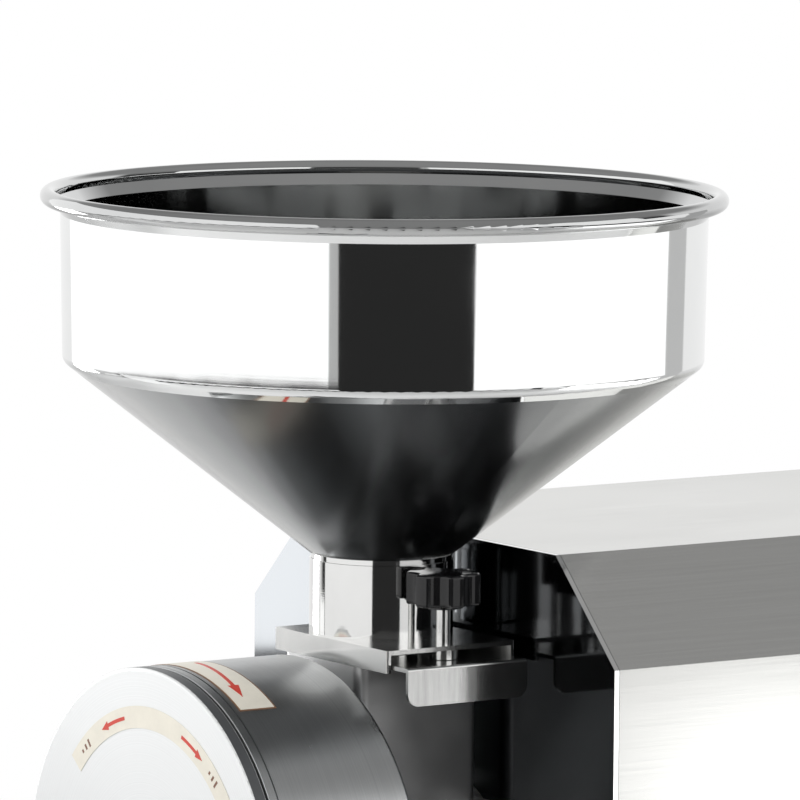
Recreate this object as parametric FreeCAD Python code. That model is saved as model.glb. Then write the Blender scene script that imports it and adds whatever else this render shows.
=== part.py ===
import FreeCAD, Part
import math
import os

os.makedirs("parts", exist_ok=True)

# Electric grain mill. Millimetres, +Z up, bench top at Z = 0, operator's side towards -Y.
# X = 0 and Y = 0 is the hopper's axis here. save() shifts every piece so that the
# middle of the whole mill is the origin.

V = FreeCAD.Vector
FRONT = V(0, -1, 0)
BACK = V(0, 1, 0)
UP = V(0, 0, 1)
DOWN = V(0, 0, -1)
LEFT = V(-1, 0, 0)

# Heights above the bench
FOOT_HEIGHT = 24.0
CASE_TOP_Z = 529.8
HEAD_Z = 348.8
RIM_Z = 717.0

# Clearances, and how far a cutting tool runs past a face
SEAT = 0.1
APART = 0.3
RUNNING = 0.05
HOLE_PLAY = 0.1
PAST = 1.0

# Screw threads
M5 = 5.0
M6 = 6.0
M8 = 8.0
M10 = 10.0

# Hopper, spun from sheet
DRUM_R = 175.0
DRUM_FOOT_R = 173.5
DRUM_HEIGHT = 88.6
CONE_HEIGHT = 104.4
HOPPER_SHEET = 1.5
BEAD_R = 4.5
RIM_R = 185.9
BEND_R = 6.0
SEAM_DROP = 5.0
SPIGOT_LENGTH = 24.0
STOP_HEIGHT = 3.0
STOP_INSET = 0.8

# Neck tube on a folded gate cover
NECK_R = 39.1
NECK_WALL = 2.4
COVER_TOP_Z = 480.8
COVER_DEPTH = 12.2
COVER_SHEET = 2.5
COVER_END = 1.9
COVER_SIDE = 2.3
COVER_CORNER_R = 1.2
COVER_TAB_DROP = 20.0
COVER_TAB_HALF = 20.0
COVER_SCREW_Y = 12.0
COVER_SCREW_DROP = 11.0
COVER_SCREW_GRIP = 7.0

# Clamping stud and star knob
STUD_R = 4.0
STUD_SHOWN = 21.5
STUD_IN_KNOB = 12.0
STUD_TIP = 0.8
STUD_BOSS_R = 8.0
STUD_TO_COVER_END = 7.8
KNOB_GAP = 0.9
KNOB_R = 20.0
KNOB_HEIGHT = 17.5
KNOB_EDGE_R = 1.5
KNOB_LOBES = 6
KNOB_START = 18.0
FLUTE_R = 8.4
FLUTE_DEPTH = 4.6
KNOB_HUB_R = 9.0
KNOB_HUB_DROP = 2.0

# Slide gate
SLIDE_SHEET = 2.2
SLIDE_SHOWN = 16.2
SLIDE_TAB_DROP = 20.5
SLIDE_BEND_R = 1.5
TAB_CORNER_R = 7.0
GATE_OPEN = 10.7

# Feed throat and barrel
THROAT_INSET_X = 1.6
THROAT_INSET_Y = 0.2
THROAT_WALL = 4.0
THROAT_REAR_WALL = 2.0
THROAT_CORNER_R = 6.0
LAND = 2.0
LAND_IN_COVER = 1.8
LAND_SHORT = 3.0
PAD_SHORT = 2.0
BARREL_R = 42.0
BARREL_BORE_R = 33.0
BARREL_END_WALL = 15.0
FRONT_FLANGE_R = 62.0
FRONT_FLANGE = 11.0
REAR_FLANGE = 12.0
REAR_FLANGE_HALF = 72.0
REAR_FLANGE_RISE = 40.0
REAR_FLANGE_CORNER_R = 14.0
FLANGE_BOLT_EDGE = 14.0
HOUSING_BOLT_GRIP = 21.0
FEED_SPIGOT_R = 50.0
SHAFT_PLAY = 0.6
SEAL_R = 22.0
SEAL_LENGTH = 7.0
SEAL_SETBACK = 2.0

# Grinding head, axis along Y
HEAD_R = 121.9
FACE_Y = -149.0
HEAD_REAR_Y = -51.6
CAP_THICKNESS = 8.5
CAP_EDGE_R = 1.6
BACK_EDGE_R = 0.8
CAP_SEAM = 1.6
RIM_RING = 4.9
GROOVE = 1.0
GROOVE_DEEP = 1.4
DRUM_EDGE_R = 3.0
CHAMBER_WALL = 9.9
BACK_WALL = 10.4
CHAMBER_SCREW_EDGE = 12.0
CHAMBER_SCREW_GRIP = 20.0
KEY_HALF = 4.0
KEY_REACH = 4.0

# Outlet boss and flour chute
BOSS_HALF = 56.0
BOSS_INSET = 4.0
BOSS_DROP = 9.0
BOSS_ROOT = 60.0
BOSS_CORNER_R = 10.0
OUTLET_HALF = 36.0
OUTLET_FRONT = 1.0
OUTLET_REAR = 3.0
CHUTE_BOLT_X = 46.0
CHUTE_BOLT_INSET = 14.0
CHUTE_BOLT_GRIP = 20.0
CHUTE_BOLT_HOLE = 15.0
CHUTE_PLATE = 7.0
CHUTE_MOUTH = 3.0
CHUTE_WALL = 3.0
FUNNEL_DROP = 48.0
COLLAR_R = 40.0
COLLAR_WALL = 2.5
COLLAR_LENGTH = 26.0
COLLAR_EDGE = 0.8

# Burrs
BURR_MARGIN = 20.0
BURR_EYE_R = 34.0
BURR_GAP = 1.5
BURR_THICKNESS = 12.0
BURR_TEETH = 24
TOOTH_DEPTH = 2.5
TOOTH_HALF = 2.2
TOOTH_ROOT = 6.0
TOOTH_SLANT = 28.0
BURR_SCREW_INSET = 14.0
BURR_SCREW_HOLE = 7.0
BURR_SCREW_GRIP = 18.0
HOLDER_THICKNESS = 12.0
ROTOR_THICKNESS = 16.0
ROTOR_SETBACK = 4.5
ROTOR_HUB_R = 20.0
ROTOR_RING = 8.0
SPOKE_HALF = 5.0
SPOKES = 3

# Adjusting cap
THRUST_R = 5.0
THRUST_HEAD_R = 9.0
THRUST_HEAD = 6.0
THRUST_PLAY = 0.5
THRUST_DEEP = 4.0
CAP_HUB_R = 20.0
SLEEVE_WALL = 9.7
SLEEVE_SHORT = 12.0
GRIP_INSET = 33.9
GRIP_LENGTH = 38.0
GRIP_R = 14.5
GRIP_WAIST_R = 12.0
GRIP_FOOT_R = 11.0
GRIP_BULGE_R = 13.5
GRIP_FOOT = 8.0
GRIP_WAIST = 18.0
GRIP_CROWN = 5.0
GRIP_CAP = 8.0
GRIP_STUD_R = 5.0
GRIP_HEAD_R = 8.0
GRIP_HEAD = 5.0

# Case
PLATE_Y = 48.0
PLATE = 3.0
CASE_WIDTH = 351.3
CASE_CENTRE_X = -24.0
CASE_LENGTH = 380.0
CHAMFER_X = 56.0
CHAMFER_Z = 55.6
CASE_SHEET = 1.5
CASE_LIP = 18.0
BASE_SHEET = 4.0
BASE_SCREW_EDGE = 10.0
BASE_SCREW_FRONT = 24.0
BASE_SCREW_REAR = 20.0
BASE_SCREW_GRIP = 9.0
BULKHEAD = 8.0
BULKHEAD_INSET = 4.0
BULKHEAD_DROP = 14.4
TOE_INSET = 20.0
TOE_LENGTH = 40.0
TOE_BOLT_EDGE = 50.0
TOE_BOLT_Y = 24.0
TOE_BOLT_GRIP = 11.5

# Feet
FOOT_R = 18.0
FOOT_EDGE = 3.0
FOOT_INSET = 45.0
FRONT_FOOT_INSET = 66.0
FOOT_RECESS_R = 9.0
FOOT_RECESS = 6.0
FOOT_BOLT_GRIP = 25.0

# Motor, axis in line with the head
FRAME_R = 80.0
FRAME_WALL = 8.0
FRAME_LENGTH = 213.0
FIN_HEIGHT = 8.0
FIN_HALF = 1.2
FIN_COUNT = 36
FIN_START = 16.0
FIN_END = 8.0
FLANGE_RIM = 20.0
MOTOR_FLANGE = 12.0
MOTOR_BOLT_RIM = 12.0
MOTOR_BOLT_GRIP = 19.0
BEARING_INSET = 4.0
BEARING_COVER = 3.0
BEARING_WALL = 14.0
REAR_BEARING_INSET = 5.0
SHIELD = 12.0
SHIELD_HUB = 8.0
STACK_LENGTH = 120.0
STATOR_DEPTH = 22.0
SLOT_COUNT = 24
SLOT_DEPTH = 13.0
SLOT_HALF = 2.2
COIL_LENGTH = 20.0
COIL_OUT = 4.0
COIL_IN = 2.5
AIR_GAP = 0.5
END_RING = 10.0
END_RING_OUT = 4.0
END_RING_IN = 20.0

# Shaft, bearings and feed screw
SHAFT_R = 14.0
BURR_SEAT_R = 12.0
NOSE_R = 6.0
NOSE_LENGTH = 12.0
NUT_FLATS = 19.0
NUT_HEIGHT = 8.0
FAN_SEAT_R = 9.0
SHAFT_TAIL = 40.0
BEARING_BORE_R = 12.5
BEARING_R = 26.0
BEARING_WIDTH = 15.0
BALL_R = 3.9
BALL_COUNT = 9
RACE_HALF_GAP = 2.6
AUGER_SLEEVE = 4.0
AUGER_PLAY = 1.5
AUGER_PITCH = 34.0
AUGER_START = 7.5
AUGER_END = 4.0
AUGER_REAR = 8.7
FLIGHT_ROOT = 2.5
FLIGHT_TIP = 1.2
FLIGHT_SUNK = 2.0

# Fan and its cowl
FAN_GAP = 15.0
FAN_WIDTH = 18.0
FAN_INSET = 12.0
FAN_DISC_INSET = 20.0
FAN_DISC = 2.5
FAN_HUB_R = 18.0
FAN_BLADES = 8
COWL_SHEET = 1.4
COWL_LAP = 6.0
COWL_REAR = 12.0
COWL_SLITS = 14
COWL_SLIT_HALF = 3.0
COWL_SLIT_INNER_R = 20.0
COWL_SLIT_INSET = 14.0

# Rear panel vents and cord gland
VENT_ROWS = 9
VENT_PITCH = 18.0
VENT_HALF = 62.0
VENT_R = 3.0
GLAND_INSET = 49.65
GLAND_Z = 75.0
GLAND_LENGTH = 20.0
GLAND_THREAD_R = 10.0
GLAND_FLATS = 26.0
GLAND_COLLAR = 6.0
GLAND_DOME_R = 11.5
GLAND_ROUND_R = 4.0
GLAND_TAIL = 12.0
GLAND_NUT = 5.0
CORD_R = 5.2

# Buttons
BUTTON_INSET = 36.65
STOP_Z = 204.0
BUTTON_SPACING = 48.0
BUTTON_R = 9.5
BUTTON_PLAY = 0.4
BUTTON_EDGE_R = 1.5
START_PROUD = 4.2
STOP_PROUD = 7.0
BUTTON_SETBACK = 4.0
BEZEL_RIM = 4.5
BEZEL_HEIGHT = 4.0
BEZEL_EDGE_R = 1.2
BARREL_WALL = 0.9
PANEL_HOLE_PLAY = 0.2
SWITCH_HALF = 24.0
SWITCH_DEPTH = 46.0
SWITCH_MARGIN = 30.0
SWITCH_EDGE_R = 3.0

# Capacitors
CAN_R = 24.0
CAN_LENGTH = 95.0
CAN_EDGE_R = 3.0
CAN_INSET = 62.0
CAN_RISE = 30.0
CAN_REAR_GAP = 43.0
CAN_SPACING = 120.0
STRAP = 2.0
STRAP_WIDTH = 18.0
STRAP_START = 38.0
SADDLE_HALF = 20.0
SADDLE_DROP = 15.0

# Levels and places worked out from the sizes above
CONE_FOOT_Z = RIM_Z - DRUM_HEIGHT - CONE_HEIGHT
DRUM_FOOT_Z = RIM_Z - DRUM_HEIGHT
NECK_TOP_Z = CONE_FOOT_Z - STOP_HEIGHT
COVER_X0 = -NECK_R - COVER_END
COVER_HALF = NECK_R + COVER_SIDE
COVER_FOOT_Z = COVER_TOP_Z - COVER_DEPTH
STUD_X = NECK_R + KNOB_GAP + KNOB_R
COVER_X1 = STUD_X + STUD_TO_COVER_END
LAND_TOP_Z = COVER_FOOT_Z + LAND_IN_COVER
SLIDE_Z0 = LAND_TOP_Z + APART
SLIDE_Z1 = SLIDE_Z0 + SLIDE_SHEET
SLIDE_TAB_X = COVER_X1 + SLIDE_SHOWN
SLIDE_HALF = COVER_HALF - COVER_SHEET - APART
NECK_FOOT_Z = SLIDE_Z1 + APART
THROAT_HALF_X = NECK_R - THROAT_INSET_X
THROAT_HALF_Y = NECK_R - THROAT_INSET_Y
CAP_BACK_Y = FACE_Y + CAP_THICKNESS
RING_Y = CAP_BACK_Y + CAP_SEAM
DRUM_Y0 = RING_Y + RIM_RING + GROOVE
CHAMBER_BORE_R = HEAD_R - CHAMBER_WALL
BACK_WALL_Y = HEAD_REAR_Y - BACK_WALL
FRONT_FLANGE_Y = HEAD_REAR_Y + APART
REAR_FLANGE_Y = PLATE_Y - APART
CHAMBER_SCREW_R = FRONT_FLANGE_R - CHAMBER_SCREW_EDGE
BARREL_END_Y = REAR_FLANGE_Y - BARREL_END_WALL
BURR_R = CHAMBER_BORE_R - BURR_MARGIN
BURR_SCREW_R = BURR_R - BURR_SCREW_INSET
ROTOR_BACK_Y = BACK_WALL_Y - ROTOR_SETBACK
ROTOR_FACE_Y = ROTOR_BACK_Y - ROTOR_THICKNESS
FIXED_FACE_Y = ROTOR_FACE_Y - BURR_GAP
HOLDER_BACK_Y = FIXED_FACE_Y - BURR_THICKNESS
HOLDER_FRONT_Y = HOLDER_BACK_Y - HOLDER_THICKNESS
OUTLET_Y0 = HOLDER_BACK_Y + OUTLET_FRONT
OUTLET_Y1 = BACK_WALL_Y - OUTLET_REAR
BOSS_FOOT_Z = HEAD_Z - HEAD_R - BOSS_DROP
CHUTE_TOP_Z = BOSS_FOOT_Z - SEAT
GRIP_X = HEAD_R - GRIP_INSET
GRIP_END_Y = FACE_Y - GRIP_LENGTH
CASE_X0 = CASE_CENTRE_X - CASE_WIDTH / 2
CASE_X1 = CASE_CENTRE_X + CASE_WIDTH / 2
CASE_REAR_Y = PLATE_Y + CASE_LENGTH
CASE_FRONT_Y = PLATE_Y + PLATE + APART
PANEL_Y = CASE_REAR_Y - CASE_SHEET
SHELL_REAR_Y = PANEL_Y - SEAT
BASE_TOP_Z = FOOT_HEIGHT + BASE_SHEET
BULKHEAD_Y1 = CASE_FRONT_Y + BULKHEAD
MOTOR_Y = BULKHEAD_Y1 + APART
MOTOR_BOLT_R = FRAME_R + MOTOR_BOLT_RIM
FRAME_Y0 = MOTOR_Y + MOTOR_FLANGE + APART
FRAME_Y1 = FRAME_Y0 + FRAME_LENGTH
FRONT_BEARING_Y = MOTOR_Y + BEARING_INSET
REAR_BEARING_Y = FRAME_Y1 - REAR_BEARING_INSET
FAN_Y = FRAME_Y1 + FAN_GAP
BUTTON_X = CASE_X1 - BUTTON_INSET
BUTTON_BARREL_R = BUTTON_R + BUTTON_PLAY + BARREL_WALL
GLAND_X = CASE_X0 + GLAND_INSET

# The mill's middle, which becomes the origin
CENTRE_X = (CASE_X0 + RIM_R) / 2
CENTRE_Y = (GRIP_END_Y + CASE_REAR_Y + GLAND_LENGTH) / 2


def save(name, shape):
    moved = shape.copy()
    moved.translate(V(-CENTRE_X, -CENTRE_Y, 0))
    moved.exportStep("parts/" + name + ".step")


def save_all(name, shapes):
    """Equal or related solids that share one node."""
    save(name, Part.makeCompound(shapes))


def box(x0, x1, y0, y1, z0, z1):
    return Part.makeBox(x1 - x0, y1 - y0, z1 - z0, V(x0, y0, z0))


def rod_x(r, x0, x1, y, z):
    return Part.makeCylinder(r, x1 - x0, V(x0, y, z), V(1, 0, 0))


def rod_y(r, y0, y1, x=0.0, z=HEAD_Z):
    return Part.makeCylinder(r, y1 - y0, V(x, y0, z), BACK)


def rod_z(r, z0, z1, x=0.0, y=0.0):
    return Part.makeCylinder(r, z1 - z0, V(x, y, z0), UP)


def tube_y(outer, inner, y0, y1, x=0.0, z=HEAD_Z):
    return rod_y(outer, y0, y1, x, z).cut(rod_y(inner, y0, y1, x, z))


def tube_z(outer, inner, z0, z1, x=0.0, y=0.0):
    return rod_z(outer, z0, z1, x, y).cut(rod_z(inner, z0, z1, x, y))


def prism(points, direction):
    face = Part.Face(Part.makePolygon(points + points[:1]))
    return face.extrude(direction)


def spun_z(profile, x=0.0, y=0.0):
    """A turned piece on a vertical axis, from (radius, z) points."""
    face = Part.Face(Part.makePolygon([V(x + r, y, z) for r, z in profile + profile[:1]]))
    return face.revolve(V(x, y, 0), UP, 360)


def spun_y(profile, x=0.0, z=HEAD_Z):
    """A turned piece on an axis along Y, from (radius, y) points."""
    face = Part.Face(Part.makePolygon([V(x + r, y, z) for r, y in profile + profile[:1]]))
    return face.revolve(V(x, 0, z), BACK, 360)


def around_y(shape, count, start=0.0):
    """Copies of a shape, evenly turned about the head's axis."""
    copies = []
    for i in range(count):
        copy = shape.copy()
        copy.rotate(V(0, 0, HEAD_Z), BACK, start + i * 360.0 / count)
        copies.append(copy)
    return copies


def four_around(shape):
    """Four copies on the diagonals."""
    return around_y(shape, 4, 45.0)


def joined(shapes):
    return shapes[0].multiFuse(shapes[1:]).removeSplitter()


def rounded(shape, radius, wanted):
    return shape.makeFillet(radius, [e for e in shape.Edges if wanted(e)])


def same(a, b):
    return abs(a - b) < 0.01


def is_circle(edge):
    return edge.Curve.TypeId == "Part::GeomCircle"


def round_at(z, radius):
    """Picks the full circles of one radius at one height."""
    def wanted(edge):
        return is_circle(edge) and same(edge.Curve.Center.z, z) and same(edge.Curve.Radius, radius)
    return wanted


def turned_at(y, radius):
    """Picks the circles of one radius at one place along the head's axis."""
    def wanted(edge):
        return is_circle(edge) and same(edge.Curve.Center.y, y) and same(edge.Curve.Radius, radius)
    return wanted


def upright(edge):
    a, b = edge.Vertexes[0].Point, edge.Vertexes[-1].Point
    return same(a.x, b.x) and same(a.y, b.y) and not same(a.z, b.z)


def fore_and_aft(edge):
    a, b = edge.Vertexes[0].Point, edge.Vertexes[-1].Point
    return same(a.x, b.x) and same(a.z, b.z) and not same(a.y, b.y)


def hexagon(across_flats, height):
    r = across_flats / math.sqrt(3)
    turns = [math.radians(60 * i) for i in range(6)]
    return prism([V(r * math.cos(a), r * math.sin(a), 0) for a in turns], V(0, 0, height))


def socket_screw(size, grip):
    """Cap screw pointing down from its head's seat at z = 0."""
    socket = hexagon(0.8 * size, size).translated(V(0, 0, size / 2))
    return joined([rod_z(0.75 * size, 0, size).cut(socket), rod_z(size / 2, -grip, 0)])


def button_screw(size, grip):
    """Low-headed screw pointing down from its head's seat at z = 0."""
    socket = hexagon(0.6 * size, size).translated(V(0, 0, 0.2 * size))
    head = Part.makeCone(size, 0.7 * size, 0.55 * size).cut(socket)
    return joined([head, rod_z(size / 2, -grip, 0)])


def hex_bolt(size, grip):
    """Hexagon bolt pointing down from its head's seat at z = 0."""
    return joined([hexagon(1.6 * size, 0.65 * size), rod_z(size / 2, -grip, 0)])


def flat_screw(size, grip):
    """Countersunk screw whose flat top is at z = 0."""
    head = Part.makeCone(size / 2, size, size / 2, V(0, 0, -size / 2), UP)
    screw = joined([head, rod_z(size / 2, -grip, -size / 2)])
    return screw.cut(hexagon(0.6 * size, size).translated(V(0, 0, -size / 3)))


def hole_r(size):
    return size / 2 + HOLE_PLAY


def placed(shape, point, direction):
    """Turns a screw so that its head looks along a direction, then puts it in place."""
    copy = shape.copy()
    copy.Placement = FreeCAD.Placement(point, FreeCAD.Rotation(UP, direction))
    return copy


def sheet_section(line, thickness):
    """A bent sheet's section: its outside line going up, and its inside one coming back."""
    normals = []
    for (r0, z0), (r1, z1) in zip(line, line[1:]):
        length = math.hypot(r1 - r0, z1 - z0)
        normals.append(((z0 - z1) / length, (r1 - r0) / length))
    inside = []
    for (r, z), (ar, az), (br, bz) in zip(line, normals[:1] + normals, normals + normals[-1:]):
        share = thickness / (1 + ar * br + az * bz)
        inside.append((r + share * (ar + br), z + share * (az + bz)))
    return line + inside[::-1]


def hopper():
    """Spun bowl of three welded pieces: drum with a rolled rim, cone, and spigot."""
    slope = (DRUM_FOOT_R - NECK_R) / CONE_HEIGHT
    seam = (DRUM_FOOT_R - slope * SEAM_DROP, DRUM_FOOT_Z - SEAM_DROP)
    section = sheet_section([seam, (DRUM_FOOT_R, DRUM_FOOT_Z), (DRUM_R, RIM_Z - 2 * BEAD_R),
                             (RIM_R - BEAD_R, RIM_Z)], HOPPER_SHEET)
    bend_inside_r, bend_inside_z = section[-2]
    drum = rounded(spun_z(section), BEND_R, round_at(DRUM_FOOT_Z, DRUM_FOOT_R))
    drum = rounded(drum, BEND_R - HOPPER_SHEET, round_at(bend_inside_z, bend_inside_r))
    bead = Part.makeTorus(RIM_R - BEAD_R, BEAD_R, V(0, 0, RIM_Z))
    save("hopper", joined([drum, bead]))
    low = (NECK_R - slope * HOPPER_SHEET, CONE_FOOT_Z - HOPPER_SHEET)
    cone = spun_z(sheet_section([low, seam], HOPPER_SHEET))
    save("hopper_cone", cone.cut(rod_z(NECK_R, low[1] - PAST, CONE_FOOT_Z)))
    spigot_r = NECK_R - NECK_WALL - APART
    stop_r = NECK_R - STOP_INSET
    bore_r = spigot_r - HOPPER_SHEET
    foot_z = CONE_FOOT_Z - SPIGOT_LENGTH
    stop_z = NECK_TOP_Z + SEAT
    save("hopper_spigot", spun_z([(bore_r, foot_z), (spigot_r, foot_z), (spigot_r, stop_z),
                                  (stop_r, stop_z), (stop_r, CONE_FOOT_Z), (bore_r, CONE_FOOT_Z)]))


def gate_cover():
    """Folded cover over the slide, screwed to the throat, with the neck tube welded into it."""
    top = box(COVER_X0, COVER_X1, -COVER_HALF, COVER_HALF, COVER_FOOT_Z, COVER_TOP_Z)
    room_half = COVER_HALF - COVER_SHEET
    room = box(COVER_X0 + COVER_SHEET, COVER_X1, -room_half, room_half,
               COVER_FOOT_Z, COVER_TOP_Z - COVER_SHEET)

    def open_corner(edge):
        point = edge.Vertexes[0].Point
        return upright(edge) and same(point.x, COVER_X1) and same(abs(point.y), COVER_HALF)

    folded = rounded(top.cut(room), COVER_CORNER_R, open_corner)
    tab = box(COVER_X0, COVER_X0 + COVER_SHEET, -COVER_TAB_HALF, COVER_TAB_HALF,
              COVER_FOOT_Z - COVER_TAB_DROP, COVER_FOOT_Z)
    boss = rod_z(STUD_BOSS_R, NECK_FOOT_Z, COVER_TOP_Z - COVER_SHEET, STUD_X)
    cover = joined([folded, tab, boss])
    cover = cover.cut([rod_z(NECK_R + RUNNING, NECK_FOOT_Z - PAST, COVER_TOP_Z),
                       rod_z(STUD_R + RUNNING, SLIDE_Z1, COVER_TOP_Z, STUD_X)])
    screw_z = COVER_FOOT_Z - COVER_SCREW_DROP
    screws = []
    for y in (-COVER_SCREW_Y, COVER_SCREW_Y):
        cover = cover.cut(rod_x(hole_r(M5), COVER_X0, COVER_X0 + COVER_SHEET, y, screw_z))
        screws.append(placed(socket_screw(M5, COVER_SCREW_GRIP), V(COVER_X0 - SEAT, y, screw_z), LEFT))
    save("gate_cover", cover)
    save_all("gate_cover_screws", screws)
    save("gate_neck", tube_z(NECK_R, NECK_R - NECK_WALL, NECK_FOOT_Z, NECK_TOP_Z))


def gate_slide():
    """Flat shutter with a bent-down finger tab."""
    end_x = GATE_OPEN - (NECK_R - NECK_WALL)
    tab_foot = SLIDE_Z1 - SLIDE_TAB_DROP
    plate = box(end_x, SLIDE_TAB_X, -SLIDE_HALF, SLIDE_HALF, SLIDE_Z0, SLIDE_Z1)
    tab = box(SLIDE_TAB_X - SLIDE_SHEET, SLIDE_TAB_X, -SLIDE_HALF, SLIDE_HALF, tab_foot, SLIDE_Z1)

    def tab_corner(edge):
        return same(edge.CenterOfMass.z, tab_foot) and same(edge.Length, SLIDE_SHEET)

    def bend(edge):
        return same(edge.CenterOfMass.z, SLIDE_Z1) and same(edge.CenterOfMass.x, SLIDE_TAB_X)

    shutter = rounded(joined([plate, tab]), TAB_CORNER_R, tab_corner)
    save("gate_slide", rounded(shutter, SLIDE_BEND_R, bend))


def gate_screw():
    """Clamping stud through the cover's boss, and the star knob on it."""
    foot = COVER_TOP_Z + STUD_SHOWN
    stud_top = foot + STUD_IN_KNOB
    stud = rod_z(STUD_R, SLIDE_Z1 + APART, stud_top, STUD_X)
    is_tip = round_at(stud_top, STUD_R)
    save("gate_stud", stud.makeChamfer(STUD_TIP, [e for e in stud.Edges if is_tip(e)]))
    knob = rod_z(KNOB_R, foot, foot + KNOB_HEIGHT, STUD_X)
    flute_at = KNOB_R + FLUTE_R - FLUTE_DEPTH
    for i in range(KNOB_LOBES):
        a = math.radians(KNOB_START + 360.0 / KNOB_LOBES * i)
        x, y = STUD_X + flute_at * math.cos(a), flute_at * math.sin(a)
        knob = knob.cut(rod_z(FLUTE_R, foot - PAST, foot + KNOB_HEIGHT + PAST, x, y))
    knob = rounded(knob, KNOB_EDGE_R, lambda edge: not upright(edge))
    hub = rod_z(KNOB_HUB_R, foot - KNOB_HUB_DROP, foot + PAST, STUD_X)
    socket = rod_z(STUD_R + RUNNING, foot - KNOB_HUB_DROP, stud_top + APART, STUD_X)
    save("gate_knob", joined([knob, hub]).cut(socket))


def rear_flange_block(grow):
    """The barrel's rear flange, or the room it needs in the throat."""
    flange = box(-REAR_FLANGE_HALF - grow, REAR_FLANGE_HALF + grow, REAR_FLANGE_Y - REAR_FLANGE - grow,
                 REAR_FLANGE_Y, HEAD_Z - REAR_FLANGE_HALF, HEAD_Z + REAR_FLANGE_RISE + grow)
    return rounded(flange, REAR_FLANGE_CORNER_R, fore_and_aft)


def housing_bolt_places():
    reach = REAR_FLANGE_HALF - FLANGE_BOLT_EDGE
    rise = REAR_FLANGE_RISE - FLANGE_BOLT_EDGE
    return [(x, HEAD_Z + z) for x in (-reach, reach) for z in (-reach, rise)]


def grain_way():
    """The square way for grain, down from the slide into the barrel."""
    x, y = THROAT_HALF_X - THROAT_WALL, THROAT_HALF_Y - THROAT_WALL
    return box(-x, x, -y, BARREL_END_Y - THROAT_REAR_WALL, HEAD_Z, LAND_TOP_Z)


def feed_throat():
    """Square duct that sits on the barrel like a saddle, with a land for the slide."""
    duct = box(-THROAT_HALF_X, THROAT_HALF_X, -THROAT_HALF_Y, THROAT_HALF_Y, HEAD_Z, LAND_TOP_Z - LAND / 2)
    duct = rounded(duct, THROAT_CORNER_R, upright)
    land_x0 = COVER_X0 + COVER_SHEET + APART
    land = box(land_x0, COVER_X1 - LAND_SHORT, -SLIDE_HALF, SLIDE_HALF, LAND_TOP_Z - LAND, LAND_TOP_Z)
    pad = box(COVER_X0 + COVER_SHEET + SEAT, -THROAT_HALF_X + THROAT_WALL, -COVER_TAB_HALF, COVER_TAB_HALF,
              COVER_FOOT_Z - COVER_TAB_DROP, COVER_FOOT_Z - PAD_SHORT)
    throat = joined([duct, land, pad])
    throat = throat.cut([grain_way(), rear_flange_block(SEAT),
                         rod_y(BARREL_R + SEAT, FRONT_FLANGE_Y, REAR_FLANGE_Y)])
    for y in (-COVER_SCREW_Y, COVER_SCREW_Y):
        throat = throat.cut(rod_x(hole_r(M5), COVER_X0, -THROAT_HALF_X + THROAT_WALL, y,
                                  COVER_FOOT_Z - COVER_SCREW_DROP))
    save("feed_throat", throat)


def feed_housing():
    """Barrel for the feed screw, with a flange at each end and the shaft's seal."""
    housing = joined([rod_y(BARREL_R, FRONT_FLANGE_Y, REAR_FLANGE_Y),
                      rod_y(FRONT_FLANGE_R, FRONT_FLANGE_Y, FRONT_FLANGE_Y + FRONT_FLANGE),
                      rear_flange_block(0.0),
                      rod_y(FEED_SPIGOT_R - APART, REAR_FLANGE_Y, BULKHEAD_Y1 - APART)])
    seal_y = REAR_FLANGE_Y + SEAL_SETBACK
    housing = housing.cut([rod_y(BARREL_BORE_R, FRONT_FLANGE_Y, BARREL_END_Y), grain_way(),
                           rod_y(SHAFT_R + SHAFT_PLAY, BARREL_END_Y, BULKHEAD_Y1),
                           rod_y(SEAL_R, seal_y, BULKHEAD_Y1)])
    screw_hole = rod_y(hole_r(M8), FRONT_FLANGE_Y, FRONT_FLANGE_Y + FRONT_FLANGE, CHAMBER_SCREW_R)
    housing = housing.cut(four_around(screw_hole))
    bolts = []
    for x, z in housing_bolt_places():
        seat_y = REAR_FLANGE_Y - REAR_FLANGE
        housing = housing.cut(rod_y(hole_r(M8), seat_y, REAR_FLANGE_Y, x, z))
        bolts.append(placed(socket_screw(M8, HOUSING_BOLT_GRIP), V(x, seat_y - SEAT, z), FRONT))
    save("feed_housing", housing)
    save_all("housing_bolts", bolts)
    save("shaft_seal", tube_y(SEAL_R - SEAT, SHAFT_R + RUNNING, seal_y + SEAT, seal_y + SEAL_LENGTH))


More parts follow.
